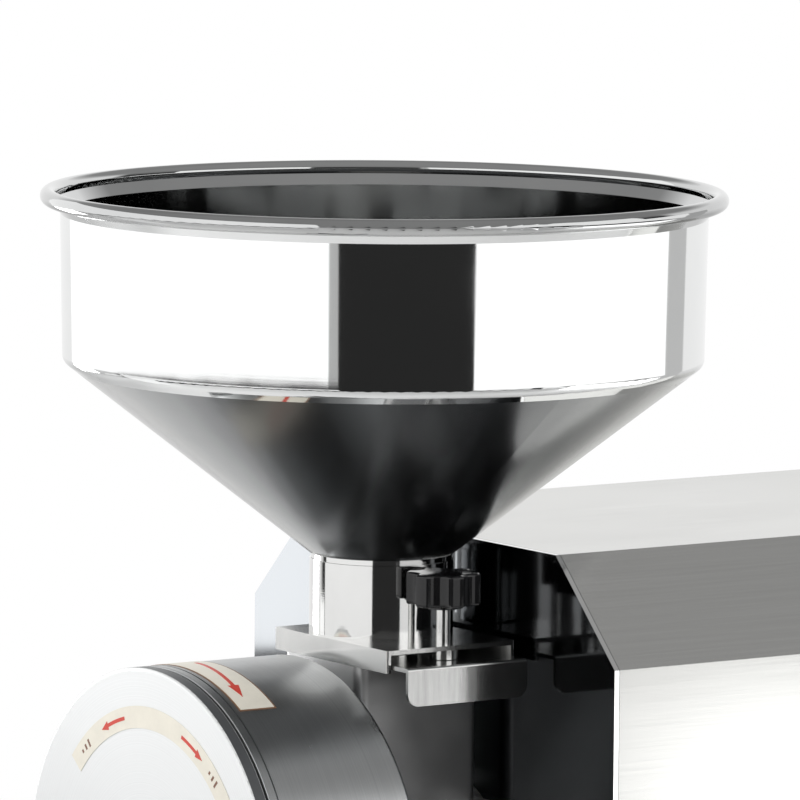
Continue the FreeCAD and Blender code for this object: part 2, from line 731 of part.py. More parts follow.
def chamber():
    """Grinding chamber: drum with a back wall, a key each side and an outlet boss below."""
    drum = rounded(rod_y(HEAD_R, DRUM_Y0, HEAD_REAR_Y), DRUM_EDGE_R, turned_at(HEAD_REAR_Y, HEAD_R))
    groove = rod_y(HEAD_R - GROOVE_DEEP, RING_Y, DRUM_Y0)
    ring = rounded(rod_y(HEAD_R, RING_Y, RING_Y + RIM_RING), BACK_EDGE_R, turned_at(RING_Y, HEAD_R))
    boss = box(-BOSS_HALF, BOSS_HALF, DRUM_Y0 + BOSS_INSET, HEAD_REAR_Y - BOSS_INSET,
               BOSS_FOOT_Z, HEAD_Z - BOSS_ROOT)
    body = joined([drum, groove, ring, rounded(boss, BOSS_CORNER_R, upright)])
    outlet = box(-OUTLET_HALF, OUTLET_HALF, OUTLET_Y0, OUTLET_Y1, BOSS_FOOT_Z, HEAD_Z)
    body = body.cut([rod_y(CHAMBER_BORE_R, RING_Y, BACK_WALL_Y), outlet,
                     rod_y(BARREL_BORE_R, BACK_WALL_Y, HEAD_REAR_Y)])
    for side in (-1, 1):
        x0, x1 = sorted((side * (CHAMBER_BORE_R - KEY_REACH), side * (CHAMBER_BORE_R + PAST)))
        key = box(x0, x1, HOLDER_FRONT_Y - KEY_REACH, HOLDER_BACK_Y + KEY_REACH,
                  HEAD_Z - KEY_HALF, HEAD_Z + KEY_HALF)
        body = body.fuse(key)
    hole = rod_y(hole_r(M8), BACK_WALL_Y, HEAD_REAR_Y, CHAMBER_SCREW_R)
    sink = Part.makeCone(M8 + HOLE_PLAY, hole_r(M8), M8 / 2, V(CHAMBER_SCREW_R, BACK_WALL_Y, HEAD_Z), BACK)
    body = body.cut(four_around(hole) + four_around(sink))
    for x, y in chute_bolt_places():
        body = body.cut(rod_z(hole_r(M6), BOSS_FOOT_Z, BOSS_FOOT_Z + CHUTE_BOLT_HOLE, x, y))
    save("chamber", body.removeSplitter())
    screw = placed(flat_screw(M8, CHAMBER_SCREW_GRIP), V(CHAMBER_SCREW_R, BACK_WALL_Y + SEAT, HEAD_Z), FRONT)
    save_all("chamber_screws", four_around(screw))


def chute_bolt_places():
    return [(x, y) for x in (-CHUTE_BOLT_X, CHUTE_BOLT_X)
            for y in (DRUM_Y0 + CHUTE_BOLT_INSET, HEAD_REAR_Y - CHUTE_BOLT_INSET)]


def funnel(wall, collar_r):
    """The narrowing part of the chute, from the slot above to the collar's circle."""
    middle_y = (OUTLET_Y0 + OUTLET_Y1) / 2
    mouth_z = CHUTE_TOP_Z - CHUTE_MOUTH
    x, y0, y1 = OUTLET_HALF + wall, OUTLET_Y0 - wall, OUTLET_Y1 + wall
    mouth = Part.makePolygon([V(-x, y0, mouth_z), V(x, y0, mouth_z), V(x, y1, mouth_z),
                              V(-x, y1, mouth_z), V(-x, y0, mouth_z)])
    circle = Part.Wire(Part.makeCircle(collar_r, V(0, middle_y, CHUTE_TOP_Z - FUNNEL_DROP), UP))
    return Part.makeLoft([mouth, circle], True)


def outlet_chute():
    """Spout that narrows from the chamber's slot to a round collar for a flour bag."""
    plate_z = CHUTE_TOP_Z - CHUTE_PLATE
    plate = box(-BOSS_HALF, BOSS_HALF, DRUM_Y0 + BOSS_INSET, HEAD_REAR_Y - BOSS_INSET, plate_z, CHUTE_TOP_Z)
    middle_y = (OUTLET_Y0 + OUTLET_Y1) / 2
    collar_top = CHUTE_TOP_Z - FUNNEL_DROP
    collar_foot = collar_top - COLLAR_LENGTH
    collar = rod_z(COLLAR_R, collar_foot, collar_top, 0, middle_y)
    is_foot = round_at(collar_foot, COLLAR_R)
    collar = collar.makeChamfer(COLLAR_EDGE, [e for e in collar.Edges if is_foot(e)])
    skin = joined([rounded(plate, BOSS_CORNER_R, upright), funnel(CHUTE_WALL, COLLAR_R), collar])
    bore_r = COLLAR_R - COLLAR_WALL
    skin = skin.cut([funnel(0.0, bore_r), rod_z(bore_r, collar_foot, collar_top, 0, middle_y),
                     box(-OUTLET_HALF, OUTLET_HALF, OUTLET_Y0, OUTLET_Y1,
                         CHUTE_TOP_Z - CHUTE_MOUTH, CHUTE_TOP_Z)])
    bolts = []
    for x, y in chute_bolt_places():
        skin = skin.cut(rod_z(hole_r(M6), plate_z, CHUTE_TOP_Z, x, y))
        bolts.append(placed(hex_bolt(M6, CHUTE_BOLT_GRIP), V(x, y, plate_z - SEAT), DOWN))
    save("outlet_chute", skin)
    save_all("chute_bolts", bolts)


def burr_grooves(y0, y1, slant):
    """Slanted cutting grooves across a burr's working face."""
    root_r = BURR_EYE_R + TOOTH_ROOT
    groove = box(root_r, BURR_R + PAST, y0, y1, HEAD_Z - TOOTH_HALF, HEAD_Z + TOOTH_HALF)
    groove.rotate(V(root_r, 0, HEAD_Z), BACK, slant)
    return around_y(groove, BURR_TEETH)


def rotating_burr():
    """Cast disc on the shaft: hub, three spokes, feed windows and a toothed face."""
    rim = tube_y(BURR_R, BURR_EYE_R, ROTOR_FACE_Y, ROTOR_BACK_Y)
    hub = rod_y(ROTOR_HUB_R, ROTOR_FACE_Y - PAST, ROTOR_BACK_Y)
    back_ring = tube_y(BURR_EYE_R + ROTOR_RING, BURR_EYE_R, ROTOR_BACK_Y, BACK_WALL_Y - PAST)
    spoke = box(0, BURR_EYE_R + PAST, ROTOR_FACE_Y, ROTOR_BACK_Y, HEAD_Z - SPOKE_HALF, HEAD_Z + SPOKE_HALF)
    body = joined([rim, hub, back_ring] + around_y(spoke, SPOKES))
    body = body.cut(rod_y(BURR_SEAT_R + RUNNING, ROTOR_FACE_Y - PAST, ROTOR_BACK_Y))
    save("rotating_burr", body.cut(burr_grooves(ROTOR_FACE_Y, ROTOR_FACE_Y + TOOTH_DEPTH, TOOTH_SLANT)))


def three_around(shape):
    """Three copies, one of them straight down."""
    return around_y(shape, 3, 30.0)


def fixed_burr():
    """Toothed ring that faces the rotating burr, on the holder that the cap moves."""
    ring = tube_y(BURR_R, BURR_EYE_R, HOLDER_BACK_Y, FIXED_FACE_Y)
    ring = ring.cut(burr_grooves(FIXED_FACE_Y - TOOTH_DEPTH, FIXED_FACE_Y, -TOOTH_SLANT))
    tapped = rod_y(hole_r(M6), HOLDER_BACK_Y, HOLDER_BACK_Y + BURR_SCREW_HOLE, BURR_SCREW_R)
    save("fixed_burr", ring.cut(three_around(tapped)))
    holder = rod_y(CHAMBER_BORE_R - APART, HOLDER_FRONT_Y, HOLDER_BACK_Y)
    keyway_half = KEY_HALF + APART
    for side in (-1, 1):
        x0, x1 = sorted((side * (CHAMBER_BORE_R - KEY_REACH - APART), side * CHAMBER_BORE_R))
        holder = holder.cut(box(x0, x1, HOLDER_FRONT_Y, HOLDER_BACK_Y,
                                HEAD_Z - keyway_half, HEAD_Z + keyway_half))
    holder = holder.cut([rod_y(THRUST_R + RUNNING, HOLDER_FRONT_Y, HOLDER_BACK_Y),
                         rod_y(THRUST_HEAD_R + RUNNING, HOLDER_BACK_Y - THRUST_HEAD, HOLDER_BACK_Y)])
    clear = rod_y(hole_r(M6), HOLDER_FRONT_Y, HOLDER_BACK_Y, BURR_SCREW_R)
    save("burr_holder", holder.cut(three_around(clear)))
    screw = placed(socket_screw(M6, BURR_SCREW_GRIP), V(BURR_SCREW_R, HOLDER_FRONT_Y - SEAT, HEAD_Z), FRONT)
    save_all("burr_screws", three_around(screw))


def adjusting_cap():
    """Front cap that screws in or out to set the burr gap, and its thrust screw."""
    disc = rounded(rod_y(HEAD_R, FACE_Y, CAP_BACK_Y), CAP_EDGE_R, turned_at(FACE_Y, HEAD_R))
    disc = rounded(disc, BACK_EDGE_R, turned_at(CAP_BACK_Y, HEAD_R))
    sleeve_r = CHAMBER_BORE_R - APART
    sleeve = tube_y(sleeve_r, sleeve_r - SLEEVE_WALL, CAP_BACK_Y, HOLDER_FRONT_Y - SLEEVE_SHORT)
    hub = rod_y(CAP_HUB_R, CAP_BACK_Y, HOLDER_FRONT_Y - RUNNING)
    cap = joined([disc, sleeve, hub])
    cap = cap.cut(rod_y(THRUST_R + RUNNING, CAP_BACK_Y + THRUST_DEEP, HOLDER_FRONT_Y))
    for side in (-1, 1):
        cap = cap.cut(rod_y(GRIP_STUD_R + HOLE_PLAY, FACE_Y, CAP_BACK_Y, side * GRIP_X))
    save("adjusting_cap", cap)
    head_y0 = HOLDER_BACK_Y - THRUST_HEAD + RUNNING
    screw = joined([rod_y(THRUST_HEAD_R, head_y0, HOLDER_BACK_Y - THRUST_PLAY),
                    rod_y(THRUST_R, CAP_BACK_Y + THRUST_DEEP + PAST, head_y0 + PAST)])
    save("thrust_screw", screw)


def cap_grips():
    """Two moulded grips, each on a stud through the cap."""
    foot_y = FACE_Y - APART
    hollow_y = GRIP_END_Y + GRIP_CAP
    core_r = GRIP_STUD_R + HOLE_PLAY
    profile = [(core_r, foot_y), (GRIP_FOOT_R, foot_y), (GRIP_BULGE_R, FACE_Y - GRIP_FOOT),
               (GRIP_WAIST_R, FACE_Y - GRIP_WAIST), (GRIP_R, GRIP_END_Y + GRIP_CROWN),
               (GRIP_FOOT_R, GRIP_END_Y), (0, GRIP_END_Y), (0, hollow_y), (core_r, hollow_y)]
    grips = []
    studs = []
    for side in (-1, 1):
        x = side * GRIP_X
        grips.append(spun_y(profile, x))
        studs.append(joined([rod_y(GRIP_STUD_R, hollow_y + PAST, CAP_BACK_Y + PAST, x),
                             rod_y(GRIP_HEAD_R, CAP_BACK_Y + SEAT, CAP_BACK_Y + GRIP_HEAD, x)]))
    save_all("cap_grips", grips)
    save_all("grip_studs", studs)


def main_shaft():
    """One shaft from the motor's fan to the rotating burr, with the burr's nut."""
    front_end = FRONT_BEARING_Y + BEARING_WIDTH
    rear_end = REAR_BEARING_Y + BEARING_WIDTH
    tail_y = FRAME_Y1 + SHAFT_TAIL
    seat_y = ROTOR_FACE_Y - PAST
    profile = [(0, seat_y - NOSE_LENGTH), (NOSE_R, seat_y - NOSE_LENGTH), (NOSE_R, seat_y),
               (BURR_SEAT_R, seat_y), (BURR_SEAT_R, ROTOR_BACK_Y), (SHAFT_R, ROTOR_BACK_Y),
               (SHAFT_R, FRONT_BEARING_Y - SHAFT_PLAY), (BEARING_BORE_R, FRONT_BEARING_Y - SHAFT_PLAY),
               (BEARING_BORE_R, front_end), (SHAFT_R, front_end + PAST),
               (SHAFT_R, REAR_BEARING_Y - 2 * PAST), (BEARING_BORE_R, REAR_BEARING_Y - PAST),
               (BEARING_BORE_R, rear_end), (FAN_SEAT_R, rear_end), (FAN_SEAT_R, tail_y), (0, tail_y)]
    save("main_shaft", spun_y(profile))
    nut = placed(hexagon(NUT_FLATS, NUT_HEIGHT), V(0, seat_y - SEAT, HEAD_Z), FRONT)
    save("burr_nut", nut.cut(rod_y(NOSE_R + RUNNING, seat_y - NOSE_LENGTH, seat_y)))


def bearings():
    """Two deep-groove ball bearings: grooved rings and a ring of balls in each."""
    pitch_r = (BEARING_R + BEARING_BORE_R) / 2
    outers, inners, balls = [], [], []
    for y0 in (FRONT_BEARING_Y, REAR_BEARING_Y):
        y1 = y0 + BEARING_WIDTH
        middle = V(0, (y0 + y1) / 2, HEAD_Z)
        track = Part.makeTorus(pitch_r, BALL_R + RUNNING, middle, BACK)
        outers.append(tube_y(BEARING_R, pitch_r + RACE_HALF_GAP, y0, y1).cut(track))
        inners.append(tube_y(pitch_r - RACE_HALF_GAP, BEARING_BORE_R + RUNNING / 2, y0, y1).cut(track))
        balls.extend(around_y(Part.makeSphere(BALL_R, middle + V(pitch_r, 0, 0)), BALL_COUNT))
    save_all("bearing_outer", outers)
    save_all("bearing_inner", inners)
    save_all("bearing_balls", balls)


def auger():
    """Feed screw: one helical flight on a sleeve around the shaft."""
    end_y = BARREL_END_Y - AUGER_REAR
    start_y = BACK_WALL_Y + AUGER_START
    core_r = SHAFT_R + AUGER_SLEEVE
    root_r, tip_r = core_r - FLIGHT_SUNK, BARREL_BORE_R - AUGER_PLAY
    sleeve = tube_y(core_r, SHAFT_R + RUNNING, ROTOR_BACK_Y + APART, end_y)
    helix = Part.makeHelix(AUGER_PITCH, end_y - AUGER_END - start_y, core_r)
    blade = Part.makePolygon([V(root_r, 0, -FLIGHT_ROOT), V(tip_r, 0, -FLIGHT_TIP), V(tip_r, 0, FLIGHT_TIP),
                              V(root_r, 0, FLIGHT_ROOT), V(root_r, 0, -FLIGHT_ROOT)])
    flight = Part.Wire(helix).makePipeShell([blade], True, True)
    flight.Placement = FreeCAD.Placement(V(0, start_y, HEAD_Z), FreeCAD.Rotation(UP, BACK))
    save("auger", sleeve.fuse(flight).removeSplitter())


def motor_shell():
    """Flange, finned frame and rear shield, with the seats for both bearings."""
    seat_r = BEARING_R + RUNNING / 2
    hub_r = BEARING_R + BEARING_WALL
    hub_y = FRONT_BEARING_Y + BEARING_WIDTH + BEARING_COVER
    front = joined([rod_y(FRAME_R + FLANGE_RIM, MOTOR_Y, MOTOR_Y + MOTOR_FLANGE),
                    rod_y(hub_r, MOTOR_Y, hub_y)])
    front = front.cut([rod_y(seat_r, FRONT_BEARING_Y, hub_y),
                       rod_y(SHAFT_R + SHAFT_PLAY, MOTOR_Y, FRONT_BEARING_Y)])
    bolt_hole = rod_y(hole_r(M10), MOTOR_Y, MOTOR_Y + MOTOR_FLANGE, MOTOR_BOLT_R)
    save("motor_flange", front.cut(four_around(bolt_hole)))
    bolt_seat = V(MOTOR_BOLT_R, MOTOR_Y + MOTOR_FLANGE + SEAT, HEAD_Z)
    save_all("motor_bolts", four_around(placed(hex_bolt(M10, MOTOR_BOLT_GRIP), bolt_seat, BACK)))
    fin = box(FRAME_R - PAST, FRAME_R + FIN_HEIGHT, FRAME_Y0 + FIN_START, FRAME_Y1 - FIN_END,
              HEAD_Z - FIN_HALF, HEAD_Z + FIN_HALF)
    frame = joined([rod_y(FRAME_R, FRAME_Y0, FRAME_Y1)] + around_y(fin, FIN_COUNT))
    save("motor_frame", frame.cut(rod_y(FRAME_R - FRAME_WALL, FRAME_Y0, FRAME_Y1)))
    rear_seat_y = REAR_BEARING_Y + BEARING_WIDTH + SEAT
    shield = joined([rod_y(FRAME_R, FRAME_Y1 + SEAT, FRAME_Y1 + SHIELD),
                     rod_y(hub_r, FRAME_Y1 - SHIELD_HUB, FRAME_Y1 + PAST)])
    save("motor_rear_shield", shield.cut([rod_y(seat_r, FRAME_Y1 - SHIELD_HUB, rear_seat_y),
                                          rod_y(FAN_SEAT_R + SHAFT_PLAY, FRAME_Y1, FRAME_Y1 + SHIELD)]))


def motor_core():
    """Stator with slots, its end windings, and the rotor with its end rings."""
    middle = (FRAME_Y0 + FRAME_Y1) / 2
    y0, y1 = middle - STACK_LENGTH / 2, middle + STACK_LENGTH / 2
    frame_bore = FRAME_R - FRAME_WALL
    bore = frame_bore - STATOR_DEPTH
    slot = box(bore - PAST, bore + SLOT_DEPTH, y0, y1, HEAD_Z - SLOT_HALF, HEAD_Z + SLOT_HALF)
    core = tube_y(frame_bore - RUNNING, bore, y0, y1)
    save("stator_core", core.cut(around_y(slot, SLOT_COUNT)))
    save_all("stator_windings", [tube_y(frame_bore - COIL_OUT, bore + COIL_IN, y, y + COIL_LENGTH)
                                 for y in (y0 - APART - COIL_LENGTH, y1 + APART)])
    ring_r, ring_bore = bore - END_RING_OUT, bore - END_RING_IN
    save("rotor_core", joined([tube_y(bore - AIR_GAP, SHAFT_R + RUNNING / 2, y0, y1),
                               tube_y(ring_r, ring_bore, y0 - END_RING, y0),
                               tube_y(ring_r, ring_bore, y1, y1 + END_RING)]))


def motor_fan():
    """Fan on the shaft's tail, under a pushed-on cowl with slits."""
    end_y = FAN_Y + FAN_WIDTH
    blade = box(FAN_HUB_R - PAST, FRAME_R - FAN_INSET, FAN_Y, end_y, HEAD_Z - FIN_HALF, HEAD_Z + FIN_HALF)
    fan = joined([rod_y(FAN_HUB_R, FAN_Y, end_y), rod_y(FRAME_R - FAN_DISC_INSET, FAN_Y, FAN_Y + FAN_DISC)]
                 + around_y(blade, FAN_BLADES))
    save("motor_fan", fan.cut(rod_y(FAN_SEAT_R + RUNNING, FAN_Y, end_y)))
    cowl_y0, cowl_y1 = FRAME_Y1 - COWL_LAP, end_y + COWL_REAR
    cowl = rod_y(FRAME_R + SEAT + COWL_SHEET, cowl_y0, cowl_y1)
    cowl = cowl.cut(rod_y(FRAME_R + SEAT, cowl_y0, cowl_y1 - COWL_SHEET))
    slit = box(COWL_SLIT_INNER_R, FRAME_R - COWL_SLIT_INSET, cowl_y1 - 2 * COWL_SHEET, cowl_y1,
               HEAD_Z - COWL_SLIT_HALF, HEAD_Z + COWL_SLIT_HALF)
    save("fan_cowl", cowl.cut(around_y(slit, COWL_SLITS)))


def case_outline(inset, foot_z):
    """The case's section: straight sides with sloping shoulders, as points in XZ."""
    x0, x1, top = CASE_X0 + inset, CASE_X1 - inset, CASE_TOP_Z - inset
    side_shift = inset * math.tan(math.atan2(CHAMFER_X, CHAMFER_Z) / 2)
    top_shift = inset * math.tan(math.atan2(CHAMFER_Z, CHAMFER_X) / 2)
    shoulder = CASE_TOP_Z - CHAMFER_Z - side_shift
    return [(x0, foot_z), (x1, foot_z), (x1, shoulder),
            (CASE_X1 - CHAMFER_X - top_shift, top), (CASE_X0 + CHAMFER_X + top_shift, top),
            (x0, shoulder)]


def case_prism(inset, foot_z, y0, y1):
    return prism([V(x, y0, z) for x, z in case_outline(inset, foot_z)], V(0, y1 - y0, 0))


def base_screw_places():
    return [(x, y) for x in (CASE_X0 + BASE_SCREW_EDGE, CASE_X1 - BASE_SCREW_EDGE)
            for y in (CASE_FRONT_Y + BASE_SCREW_FRONT, (CASE_FRONT_Y + SHELL_REAR_Y) / 2,
                      SHELL_REAR_Y - BASE_SCREW_REAR)]


def foot_places():
    return [(x, y) for x in (CASE_X0 + FOOT_INSET, CASE_X1 - FOOT_INSET)
            for y in (CASE_FRONT_Y + FRONT_FOOT_INSET, SHELL_REAR_Y - FOOT_INSET)]


def toe_bolt_places():
    y = BULKHEAD_Y1 + TOE_BOLT_Y
    return [(x, y) for x in (CASE_X0 + TOE_BOLT_EDGE, CASE_CENTRE_X, CASE_X1 - TOE_BOLT_EDGE)]


def case_shell():
    """Folded case with a turned-in lip along each side for the base plate's screws."""
    foot = BASE_TOP_Z + APART
    shell = case_prism(0.0, foot, CASE_FRONT_Y, SHELL_REAR_Y)
    shell = shell.cut(case_prism(CASE_SHEET, foot, CASE_FRONT_Y, SHELL_REAR_Y))
    lip_y = BULKHEAD_Y1 + PAST
    lips = [box(x, x + CASE_LIP, lip_y, SHELL_REAR_Y, foot, foot + CASE_SHEET)
            for x in (CASE_X0, CASE_X1 - CASE_LIP)]
    shell = joined([shell] + lips)
    for x, y in base_screw_places():
        shell = shell.cut(rod_z(hole_r(M5), foot, foot + CASE_SHEET, x, y))
    save("case_shell", shell)


def base():
    """Base plate with the screws of the shell and the four rubber feet."""
    plate = box(CASE_X0, CASE_X1, CASE_FRONT_Y, SHELL_REAR_Y, FOOT_HEIGHT, BASE_TOP_Z)
    screws = []
    for x, y in base_screw_places():
        plate = plate.cut(rod_z(hole_r(M5), FOOT_HEIGHT, BASE_TOP_Z, x, y))
        screws.append(placed(socket_screw(M5, BASE_SCREW_GRIP), V(x, y, FOOT_HEIGHT - SEAT), DOWN))
    for x, y in toe_bolt_places() + foot_places():
        plate = plate.cut(rod_z(hole_r(M8), FOOT_HEIGHT, BASE_TOP_Z, x, y))
    save("base_plate", plate)
    save_all("base_screws", screws)
    top = FOOT_HEIGHT - SEAT
    bolt_r = hole_r(M8)
    profile = [(bolt_r, FOOT_RECESS), (FOOT_RECESS_R, FOOT_RECESS), (FOOT_RECESS_R, 0),
               (FOOT_R - FOOT_EDGE, 0), (FOOT_R, FOOT_EDGE), (FOOT_R, top), (bolt_r, top)]
    save_all("rubber_feet", [spun_z(profile, x, y) for x, y in foot_places()])
    save_all("foot_bolts", [placed(button_screw(M8, FOOT_BOLT_GRIP), V(x, y, FOOT_RECESS - SEAT), DOWN)
                            for x, y in foot_places()])


def button_places():
    return [("start", STOP_Z + BUTTON_SPACING, START_PROUD), ("stop", STOP_Z, STOP_PROUD)]


def front_wall():
    """Polished front plate, and the bulkhead behind it that carries motor and head."""
    plate = case_prism(0.0, FOOT_HEIGHT, PLATE_Y, PLATE_Y + PLATE)
    wall = box(CASE_X0 + BULKHEAD_INSET, CASE_X1 - BULKHEAD_INSET, CASE_FRONT_Y, BULKHEAD_Y1,
               BASE_TOP_Z + SEAT, CASE_TOP_Z - CHAMFER_Z - BULKHEAD_DROP)
    toe_top = BASE_TOP_Z + BULKHEAD
    toe = box(CASE_X0 + TOE_INSET, CASE_X1 - TOE_INSET, CASE_FRONT_Y, BULKHEAD_Y1 + TOE_LENGTH,
              BASE_TOP_Z + SEAT, toe_top)
    bulkhead = joined([wall, toe]).cut(rod_y(FEED_SPIGOT_R, CASE_FRONT_Y, BULKHEAD_Y1))
    plate = plate.cut(rod_y(FEED_SPIGOT_R, PLATE_Y, PLATE_Y + PLATE))
    holes = [(x, z, hole_r(M8)) for x, z in housing_bolt_places()]
    holes += [(BUTTON_X, z, BUTTON_BARREL_R + PANEL_HOLE_PLAY) for name, z, proud in button_places()]
    for x, z, r in holes:
        plate = plate.cut(rod_y(r, PLATE_Y, PLATE_Y + PLATE, x, z))
        bulkhead = bulkhead.cut(rod_y(r, CASE_FRONT_Y, BULKHEAD_Y1, x, z))
    bulkhead = bulkhead.cut(four_around(rod_y(hole_r(M10), CASE_FRONT_Y, BULKHEAD_Y1, MOTOR_BOLT_R)))
    bolts = []
    for x, y in toe_bolt_places():
        bulkhead = bulkhead.cut(rod_z(hole_r(M8), BASE_TOP_Z, toe_top, x, y))
        bolts.append(placed(hex_bolt(M8, TOE_BOLT_GRIP), V(x, y, toe_top + SEAT), UP))
    save("front_plate", plate)
    save("bulkhead", bulkhead)
    save_all("bulkhead_bolts", bolts)


def rear_panel():
    """Rear panel with rows of slots behind the motor's fan, and the gland's hole."""
    panel = case_prism(0.0, FOOT_HEIGHT, PANEL_Y, CASE_REAR_Y)
    for row in range(VENT_ROWS):
        z = HEAD_Z + VENT_PITCH * (row - (VENT_ROWS - 1) / 2)
        panel = panel.cut([box(-VENT_HALF, VENT_HALF, PANEL_Y, CASE_REAR_Y, z - VENT_R, z + VENT_R),
                           rod_y(VENT_R, PANEL_Y, CASE_REAR_Y, -VENT_HALF, z),
                           rod_y(VENT_R, PANEL_Y, CASE_REAR_Y, VENT_HALF, z)])
    gland_hole = rod_y(GLAND_THREAD_R + PANEL_HOLE_PLAY, PANEL_Y, CASE_REAR_Y, GLAND_X, GLAND_Z)
    save("rear_panel", panel.cut(gland_hole))


def cord_gland():
    """Gland for the mains cord, with its nut inside the panel."""
    tail_y = PANEL_Y - GLAND_TAIL
    collar_y = CASE_REAR_Y + SEAT
    end_y = CASE_REAR_Y + GLAND_LENGTH
    body = rod_y(GLAND_THREAD_R, tail_y, collar_y + GLAND_COLLAR, GLAND_X, GLAND_Z)
    collar = placed(hexagon(GLAND_FLATS, GLAND_COLLAR), V(GLAND_X, collar_y, GLAND_Z), BACK)
    dome = rod_y(GLAND_DOME_R, collar_y + GLAND_COLLAR, end_y, GLAND_X, GLAND_Z)
    dome = rounded(dome, GLAND_ROUND_R, turned_at(end_y, GLAND_DOME_R))
    save("cable_gland", joined([body, collar, dome]).cut(rod_y(CORD_R, tail_y, end_y, GLAND_X, GLAND_Z)))
    nut_y = PANEL_Y - SEAT
    nut = placed(hexagon(GLAND_FLATS, GLAND_NUT), V(GLAND_X, nut_y, GLAND_Z), FRONT)
    save("gland_nut", nut.cut(rod_y(GLAND_THREAD_R + RUNNING, nut_y - GLAND_NUT, nut_y, GLAND_X, GLAND_Z)))


def buttons():
    """Start and stop buttons in bezels, with the switch box behind the bulkhead."""
    front = PLATE_Y - SEAT
    rim_y = front - BEZEL_HEIGHT
    rim_r = BUTTON_R + BEZEL_RIM
    bore_r = BUTTON_R + BUTTON_PLAY
    bezels = []
    for name, z, proud in button_places():
        bezel = joined([tube_y(rim_r, bore_r, rim_y, front, BUTTON_X, z),
                        tube_y(BUTTON_BARREL_R, bore_r, front, BULKHEAD_Y1, BUTTON_X, z)])
        bezels.append(rounded(bezel, BEZEL_EDGE_R, turned_at(rim_y, rim_r)))
        button = rod_y(BUTTON_R, front - proud, BULKHEAD_Y1 - BUTTON_SETBACK, BUTTON_X, z)
        save(name + "_button", rounded(button, BUTTON_EDGE_R, turned_at(front - proud, BUTTON_R)))
    save_all("button_bezels", bezels)
    box_y = BULKHEAD_Y1 + SEAT
    switch = box(BUTTON_X - SWITCH_HALF, BUTTON_X + SWITCH_HALF, box_y, box_y + SWITCH_DEPTH,
                 STOP_Z - SWITCH_MARGIN, STOP_Z + BUTTON_SPACING + SWITCH_MARGIN)

    def outer_edge(edge):
        return not same(edge.CenterOfMass.y, box_y)

    save("switch_box", rounded(switch, SWITCH_EDGE_R, outer_edge))


def capacitors():
    """Two capacitors, each strapped to a saddle on the base beside the motor."""
    x, z = CASE_X0 + CAN_INSET, BASE_TOP_Z + CAN_RISE
    last_y = CASE_REAR_Y - CAN_REAR_GAP - CAN_LENGTH
    cans = []
    straps = []
    for y in (last_y - CAN_SPACING, last_y):
        cans.append(rounded(rod_y(CAN_R, y, y + CAN_LENGTH, x, z), CAN_EDGE_R, is_circle))
        y0 = y + STRAP_START
        y1 = y0 + STRAP_WIDTH
        strap = tube_y(CAN_R + STRAP, CAN_R + SEAT, y0, y1, x, z)
        saddle = box(x - SADDLE_HALF, x + SADDLE_HALF, y0, y1, BASE_TOP_Z + SEAT, z - SADDLE_DROP)
        saddle = saddle.cut(rod_y(CAN_R + STRAP / 2, y0, y1, x, z))
        straps.append(joined([strap, saddle]))
    save_all("capacitors", cans)
    save_all("capacitor_straps", straps)


hopper()
gate_cover()
gate_slide()
gate_screw()
feed_throat()
feed_housing()
chamber()
outlet_chute()
rotating_burr()
fixed_burr()
adjusting_cap()
cap_grips()
main_shaft()
bearings()
auger()
motor_shell()
motor_core()
motor_fan()
case_shell()
base()
front_wall()
rear_panel()
cord_gland()
buttons()
capacitors()
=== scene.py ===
import math
import bpy
from mathutils import Matrix, Vector


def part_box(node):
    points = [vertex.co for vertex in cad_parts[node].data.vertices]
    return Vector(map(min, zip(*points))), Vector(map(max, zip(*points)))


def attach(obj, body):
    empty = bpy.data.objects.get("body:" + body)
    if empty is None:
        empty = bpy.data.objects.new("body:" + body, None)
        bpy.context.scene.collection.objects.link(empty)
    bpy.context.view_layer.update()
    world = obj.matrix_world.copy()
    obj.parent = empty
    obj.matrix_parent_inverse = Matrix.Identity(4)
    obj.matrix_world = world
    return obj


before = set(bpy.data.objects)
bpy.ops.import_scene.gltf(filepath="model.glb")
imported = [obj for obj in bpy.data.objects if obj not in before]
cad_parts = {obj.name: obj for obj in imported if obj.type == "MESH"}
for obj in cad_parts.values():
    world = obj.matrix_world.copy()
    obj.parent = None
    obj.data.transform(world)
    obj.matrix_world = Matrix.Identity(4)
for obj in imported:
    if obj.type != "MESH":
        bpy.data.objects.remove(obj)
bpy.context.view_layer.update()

MM = 0.001
MICRON = MM / 1000

# Places on the mill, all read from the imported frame
HOPPER_LOW, HOPPER_HIGH = [Vector(c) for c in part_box("hopper")]
CAP_LOW, CAP_HIGH = [Vector(c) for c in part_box("adjusting_cap")]
BEAD_R = 4.5 * MM
RIM = Vector(((HOPPER_LOW.x + HOPPER_HIGH.x) / 2, (HOPPER_LOW.y + HOPPER_HIGH.y) / 2,
              HOPPER_HIGH.z - BEAD_R))
RIM_R = (HOPPER_HIGH.x - HOPPER_LOW.x) / 2
HEAD_R = (CAP_HIGH.x - CAP_LOW.x) / 2
HEAD = Vector(((CAP_LOW.x + CAP_HIGH.x) / 2, CAP_LOW.y, (CAP_LOW.z + CAP_HIGH.z) / 2))

# The photographer's place: how far round, how high, how far back
VIEW_ROUND = math.radians(56.0)
VIEW_HIGH = math.radians(6.5)
VIEW_TILT = math.radians(0.5)
VIEW_BACK = 4.5
VIEW_LENS = 375.3
VIEW_REACH = 60.0
VIEW_ASIDE = 8.3 * MM
VIEW_DOWN = 109.6 * MM

